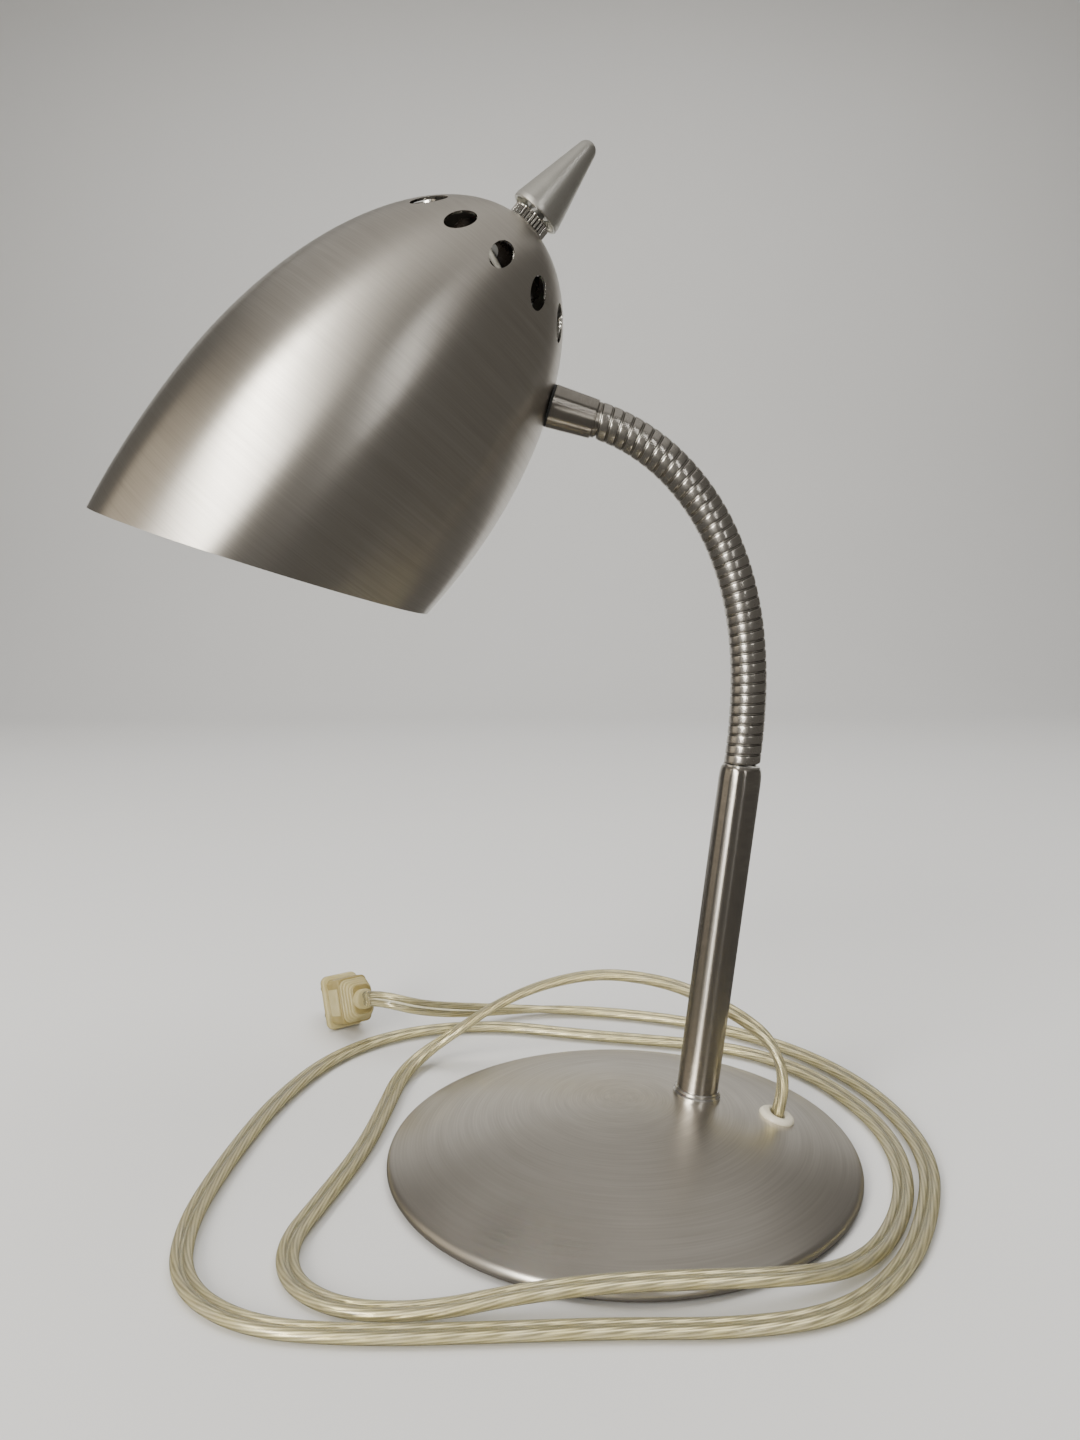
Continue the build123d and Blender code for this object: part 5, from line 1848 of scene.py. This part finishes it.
@dataclass
class SupplyCord:
    """Clear flat twin cord with its two wires.

    Attributes:
        base: the base that it leaves.
        plug: the plug at its end.
        groove: half-thickness left in the middle, as a share of a lobe's radius.
        lobe_sweep: angle that each lobe goes round, in degrees.
        floor: height of the cord's middle where it lies on the table.
        rim_rest: height of its middle where it lies on its own turn beside the base.
        tail: length inside the grommet.
        step: least distance between two points of its line.
        wire_inset: points of the line that the wires stop short at each end.
        exit_turn: where the cord leaves the grommet's way and lies level.
        plug_turn: the same before the plug, back from its nub.
    """

    base: Base
    plug: Plug
    width: float = 7.0
    thickness: float = 3.6
    groove: float = 0.62
    lobe_sweep: float = 236.0
    wire_radius: float = 1.12
    floor: float = 2.65
    rim_rest: float = 10.2
    tail: float = 7.0
    step: float = 0.8
    wire_inset: int = 3
    exit_turn: tuple[float, float] = (20.0, 80.0)
    plug_turn: tuple[float, float] = (12.0, 150.0)

    @property
    def lobe_offset(self) -> float:
        """Return how far each lobe's middle stands from the cord's, in millimetres."""
        return self.width / 2 - self.thickness / 2

    def route(self) -> list[Vector]:
        """Return the cord's route points, in millimetres."""
        floor, rest = self.floor, self.rim_rest
        over_base = [
            (-2.0, 58.8, 32.5), (-9.0, 55.5, 40.5), (-20.5, 47.5, 44.5), (-34.5, 36.5, 46.8),
            (-50.0, 21.0, 48.5), (-63.5, -4.0, 47.5), (-73.0, -29.0, 39.0), (-79.5, -50.0, 27.0),
            (-82.5, -67.0, 14.0), (-79.5, -81.5, 5.0),
        ]
        front_turn = [
            (-62.0, -89.0, floor), (-36.0, -91.0, floor), (-2.0, -94.5, floor), (32.0, -103.0, floor),
            (57.0, -109.5, floor), (77.0, -103.5, floor), (89.0, -86.0, floor), (91.5, -61.0, floor + 1.2),
            (90.0, -36.0, floor + 5.6), (88.0, -8.0, rest), (87.5, 18.0, rest + 0.4),
            (84.5, 42.0, rest - 1.0), (75.5, 62.0, floor + 2.8), (57.0, 79.5, floor), (28.0, 95.0, floor),
            (-6.0, 101.0, floor), (-39.0, 95.5, floor), (-69.0, 81.5, floor), (-90.5, 57.0, floor),
            (-99.0, 24.0, floor), (-107.0, -12.0, floor), (-118.5, -51.0, floor), (-112.0, -91.0, floor),
            (-86.0, -120.5, floor),
        ]
        outer_turn = [
            (-43.0, -136.0, floor), (4.0, -142.5, floor), (46.0, -144.5, floor), (77.0, -136.5, floor),
            (95.5, -113.0, floor), (99.5, -80.0, floor), (98.5, -44.0, floor), (97.0, -9.0, floor),
            (97.5, 25.0, floor), (92.0, 55.0, floor), (72.5, 79.0, floor), (43.0, 97.0, floor),
            (8.0, 110.0, floor), (-30.0, 109.5, floor), (-66.0, 98.5, floor), (-97.0, 76.0, floor),
            (-121.0, 43.0, floor), (-134.0, 3.0, floor),
        ]
        to_plug = [
            (-137.5, -26.0, floor + 0.3), (-131.0, -48.0, floor + 2.6), (-119.5, -66.0, 9.6),
            (-106.0, -77.5, 15.4), (-93.5, -86.5, 21.6),
        ]
        grommet = self.base.grommet_seat()
        first = [grommet.at(-self.tail).origin / MM, grommet.at(7.0).origin / MM]
        places = [Vector(place) for place in over_base + front_turn + outer_turn + to_plug]
        entry = self.plug.seat.at(self.plug.length)
        return first + places + [entry.at(14.0).origin / MM, entry.origin / MM]

    def line(self) -> list[Vector]:
        """Return close points along the cord's smooth line, in metres."""
        curve = bpy.data.curves.new("cord_line", "CURVE")
        curve.dimensions = "3D"
        curve.resolution_u = 14
        spline = curve.splines.new("NURBS")
        route = self.route()
        spline.points.add(len(route) - 1)
        for point, place in zip(spline.points, route):
            point.co = (*(place * MM), 1.0)
        spline.order_u = 3
        spline.use_endpoint_u = True
        piece = Bench.placed("cord_line", curve)
        bpy.context.view_layer.update()
        graph = bpy.context.evaluated_depsgraph_get()
        mesh = bpy.data.meshes.new_from_object(piece.evaluated_get(graph))
        points = [vert.co.copy() for vert in mesh.vertices]
        bpy.data.meshes.remove(mesh)
        bpy.data.objects.remove(piece, do_unlink=True)
        kept = [points[0]]
        for point in points[1:]:
            if (point - kept[-1]).length > self.step * MM:
                kept.append(point)
        return kept

    @staticmethod
    def headings(line: list[Vector]) -> list[Vector]:
        """Return the way a line runs at each of its points."""
        return [
            (line[min(index + 1, len(line) - 1)] - line[max(index - 1, 0)]).normalized()
            for index in range(len(line))
        ]

    def sides(self, line: list[Vector]) -> list[Vector]:
        """Return the way the cord's width points: level, but turned at the grommet and the plug.

        Args:
            line: points along the cord.

        Returns:
            A unit vector for each point.
        """
        up = Vector((0, 0, 1))
        at_exit = Vector((1.0, 0.0, 0.0))
        at_plug = -self.plug.seat.matrix().to_3x3().col[1]
        travel = [length / MM for length in travelled(line)]
        result = []
        for ahead, far in zip(self.headings(line), travel):
            way = up.cross(ahead)
            way = way.normalized() if way.length > 0.3 else at_exit
            way = at_exit.lerp(way, self.ease(far, self.exit_turn))
            way = at_plug.lerp(way, self.ease(travel[-1] - far, self.plug_turn))
            result.append((way - ahead * way.dot(ahead)).normalized())
        return result

    @staticmethod
    def ease(far: float, span: tuple[float, float]) -> float:
        """Return a smooth 0-1 step over a span of distances."""
        share = min(max((far - span[0]) / (span[1] - span[0]), 0.0), 1.0)
        return share * share * (3 - 2 * share)

    def swept(
        self, name: str, line: list[Vector], sides: list[Vector], section: list[Station], shift: float
    ) -> bpy.types.Object:
        """Return a section swept along the cord, with lengths and turns in its UV map.

        Args:
            name: name of the piece.
            line: points along the cord.
            sides: the way its width points at each.
            section: width and thickness places, in millimetres.
            shift: how far the section stands to one side, in millimetres.

        Returns:
            The swept piece.
        """
        mesh = bmesh.new()
        layer = mesh.loops.layers.uv.new("along")
        rings = []
        for point, ahead, side in zip(line, self.headings(line), sides):
            high = ahead.cross(side).normalized()
            places = [point + side * (across + shift) * MM + high * thick * MM for across, thick in section]
            rings.append([mesh.verts.new(place) for place in places])
        travel = travelled(line)
        count = len(section)
        for index, (ring, following) in enumerate(zip(rings, rings[1:])):
            near, far = travel[index], travel[index + 1]
            for corner in range(count):
                other = (corner + 1) % count
                face = mesh.faces.new((ring[corner], ring[other], following[other], following[corner]))
                face.smooth = True
                left, right = corner / count, (corner + 1) / count
                for loop, uv in zip(face.loops, ((near, left), (near, right), (far, right), (far, left))):
                    loop[layer].uv = uv
        for ring in (rings[0][::-1], rings[-1]):
            mesh.faces.new(ring)
        bmesh.ops.recalc_face_normals(mesh, faces=mesh.faces)
        data = bpy.data.meshes.new(name)
        mesh.to_mesh(data)
        mesh.free()
        return Bench.placed(name, data)

    def twin_section(self) -> list[Station]:
        """Return the cord's twin outline: two round lobes with a shallow groove between."""
        lobe = self.thickness / 2
        points = []
        for side, middle in ((1, 0), (-1, 180)):
            for share in (step / 13 - 0.5 for step in range(14)):
                angle = math.radians(middle + self.lobe_sweep * share)
                points.append((side * self.lobe_offset + lobe * math.cos(angle), lobe * math.sin(angle)))
            points.append((0.0, side * lobe * self.groove))
        return points

    def wires(self, line: list[Vector], sides: list[Vector]) -> list[bpy.types.Object]:
        """Return the two wires, built inside the jacket.

        Args:
            line: points along the cord.
            sides: the way its width points at each.

        Returns:
            The live and the neutral wire.
        """
        wire_radius = self.wire_radius
        angles = [step * math.pi / 5 for step in range(10)]
        circle = [(wire_radius * math.cos(angle), wire_radius * math.sin(angle)) for angle in angles]
        kept = slice(self.wire_inset, -self.wire_inset)
        wires = []
        for name, shift in (("cord_wire_live", self.lobe_offset), ("cord_wire_neutral", -self.lobe_offset)):
            wire = self.swept(name, line[kept], sides[kept], circle, shift)
            paint(wire, TwistedStrands(name + "_strands"))
            mount(wire, "base", "cord_gold")
            wires.append(wire)
        return wires

    def build(self, frame: dict) -> None:
        """Build the cord, its wires and the plug.

        Args:
            frame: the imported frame.
        """
        line = self.line()
        sides = self.sides(line)
        jacket = self.swept("cord_jacket", line, sides, self.twin_section(), 0.0)
        paint(jacket, Finish.CORD_VINYL)
        wires = self.wires(line, sides)
        mount(jacket, "base", "cord_gold", "supply_cord")
        plug = self.plug.build(frame)


# ------------------------------------------------------------------ studio
@dataclass(frozen=True)
class Light:
    """A soft area light.

    Attributes:
        name: name of the light.
        place: where it stands, in metres.
        size: width and height, in metres.
        power: watts.
        colour: its colour.
        aim: point that it faces.
        glossy: whether metal shows it.
        roll: turn about the way it faces, in degrees.
    """

    name: str
    place: tuple[float, float, float]
    size: tuple[float, float]
    power: float
    colour: tuple[float, float, float]
    aim: tuple[float, float, float] = (0.0, -0.05, 0.22)
    glossy: bool = True
    roll: float = 0.0

    def hang(self) -> None:
        """Add the light to the scene."""
        data = bpy.data.lights.new(self.name, "AREA")
        data.shape = "RECTANGLE"
        data.size, data.size_y = self.size
        data.energy = self.power
        data.color = self.colour
        light = Bench.placed(self.name, data)
        way = Vector(self.aim) - Vector(self.place)
        facing = way.to_track_quat("-Z", "Y").to_matrix().to_4x4()
        roll = Matrix.Rotation(math.radians(self.roll), 4, "Z")
        light.matrix_world = Matrix.Translation(self.place) @ facing @ roll
        light.visible_glossy = self.glossy


@dataclass
class Studio:
    """Camera, pale floor and soft lights. Its sizes are metres.

    Attributes:
        eye: place of the camera.
        pitch: how far the camera looks down, in degrees.
        roll: its turn about the way it looks, in degrees.
        lens: focal length, in millimetres, on a sensor of 36.
        sheet: side of the floor and of the backdrop's plane.
        middle: place of the floor's middle along X.
        wall_x: place where the backdrop turns up.
        wall_height: height of the backdrop.
        cove: radius, as the bevel's offset, of its turn.
        sky: colour of the room's own light.
        sky_strength: its strength.
    """

    eye: Vector = Vector((0.3756, -0.02895, 0.2025))
    pitch: float = 6.30
    roll: float = -0.30
    lens: float = 27.05
    sheet: float = 3.2
    middle: float = 0.85
    wall_x: float = -2.1
    wall_height: float = 2.2
    cove: float = 0.6
    sky: Colour = (0.86, 0.81, 0.74, 1.0)
    sky_strength: float = 0.14

    def camera(self) -> None:
        """Set the camera."""
        pitch = math.radians(self.pitch)
        look = Vector((-math.cos(pitch), 0.0, -math.sin(pitch)))
        right = Vector((0.0, 1.0, 0.0))
        level = Matrix((right, right.cross(look), -look)).transposed().to_4x4()
        data = bpy.data.cameras.new("camera")
        data.lens = self.lens
        data.sensor_width = 36.0
        data.sensor_fit = "AUTO"
        data.clip_start = 0.01
        camera = Bench.placed("camera", data)
        roll = Matrix.Rotation(math.radians(self.roll), 4, "Z")
        camera.matrix_world = Matrix.Translation(self.eye) @ level @ roll
        bpy.context.scene.camera = camera

    def sheet_piece(self, name: str, x: float) -> bpy.types.Object:
        """Return a flat sheet of paper on the table.

        Args:
            name: name of the piece.
            x: place of its middle along X, in metres.

        Returns:
            The sheet.
        """
        Bench.clear()
        bpy.ops.mesh.primitive_plane_add(size=self.sheet, location=(x, 0, 0))
        piece = Bench.named(name)
        Bench.seat(piece, Matrix.Identity(4))
        paint(piece, Finish.PAPER)
        return piece

    def floor(self) -> None:
        """Lay the pale floor and the backdrop that curves up behind it."""
        floor = self.sheet_piece("studio_floor", self.middle)
        floor.visible_glossy = False

        wall = self.sheet_piece("studio_backdrop", self.middle - self.sheet)
        far_edge = self.middle - 1.5 * self.sheet
        Bench.edit("DESELECT")
        Bench.select_edges(wall, lambda here, there: max(here.x, there.x) < far_edge + 0.1)
        bpy.ops.transform.translate(value=(self.wall_x - far_edge, 0, 0))
        bpy.ops.mesh.extrude_region_move(TRANSFORM_OT_translate={"value": (0, 0, self.wall_height)})
        Bench.select_edges(
            wall,
            lambda here, there: max(here.x, there.x) < self.wall_x + 0.1 and max(here.z, there.z) < 0.1,
        )
        bpy.ops.mesh.bevel(offset=self.cove, segments=24, affect="EDGES")
        Bench.leave_edit()
        Bench.smooth(wall, 60)

    def lights(self) -> None:
        """Light the set: a tall slanted window at the left, a warm bounce, a strip and two ceilings."""
        over_lamp = (-0.35, 0.0, 0.0)
        for light in (
            Light("window", (1.0, -0.77, 0.66), (0.31, 1.2), 22.0, (1.0, 0.965, 0.90), roll=24.0),
            Light("bounce", (0.1, -1.3, 0.5), (0.9, 1.0), 1.6, (1.0, 0.86, 0.66)),
            Light("strip", (1.25, 0.5, 0.75), (0.05, 0.8), 1.4, (1.0, 0.98, 0.95)),
            Light("ceiling", (-0.35, 0.0, 1.7), (2.0, 2.0), 34.0, (1.0, 0.99, 0.98), over_lamp, False),
            Light("glow", (-0.2, 0.0, 1.6), (2.4, 2.4), 5.4, (1.0, 0.97, 0.92), (-0.2, 0.0, 0.0)),
        ):
            light.hang()
        world = bpy.data.worlds.new("room")
        world.use_nodes = True
        background = world.node_tree.nodes["Background"]
        background.inputs[0].default_value = self.sky
        background.inputs[1].default_value = self.sky_strength
        bpy.context.scene.world = world

    def build(self) -> None:
        """Build the studio."""
        self.camera()
        self.floor()
        self.lights()


def main() -> None:
    """Build and dress the lamp."""
    logging.basicConfig(level=logging.INFO, format="%(name)s: %(message)s")
    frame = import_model()
    plan = LampPlan(frame["joints"])
    Studio().build()
    base = Base()
    SupplyCord(base, Plug()).build(frame)
    base.build(frame)
    Stem(plan).build()
    Gooseneck(plan).build()
    shade = Shade(plan)
    shade.build()
    Ferrule(plan).build()
    Switch(shade).build()
    Lampholder(shade).build(frame)


if __name__ == "__main__":
    main()
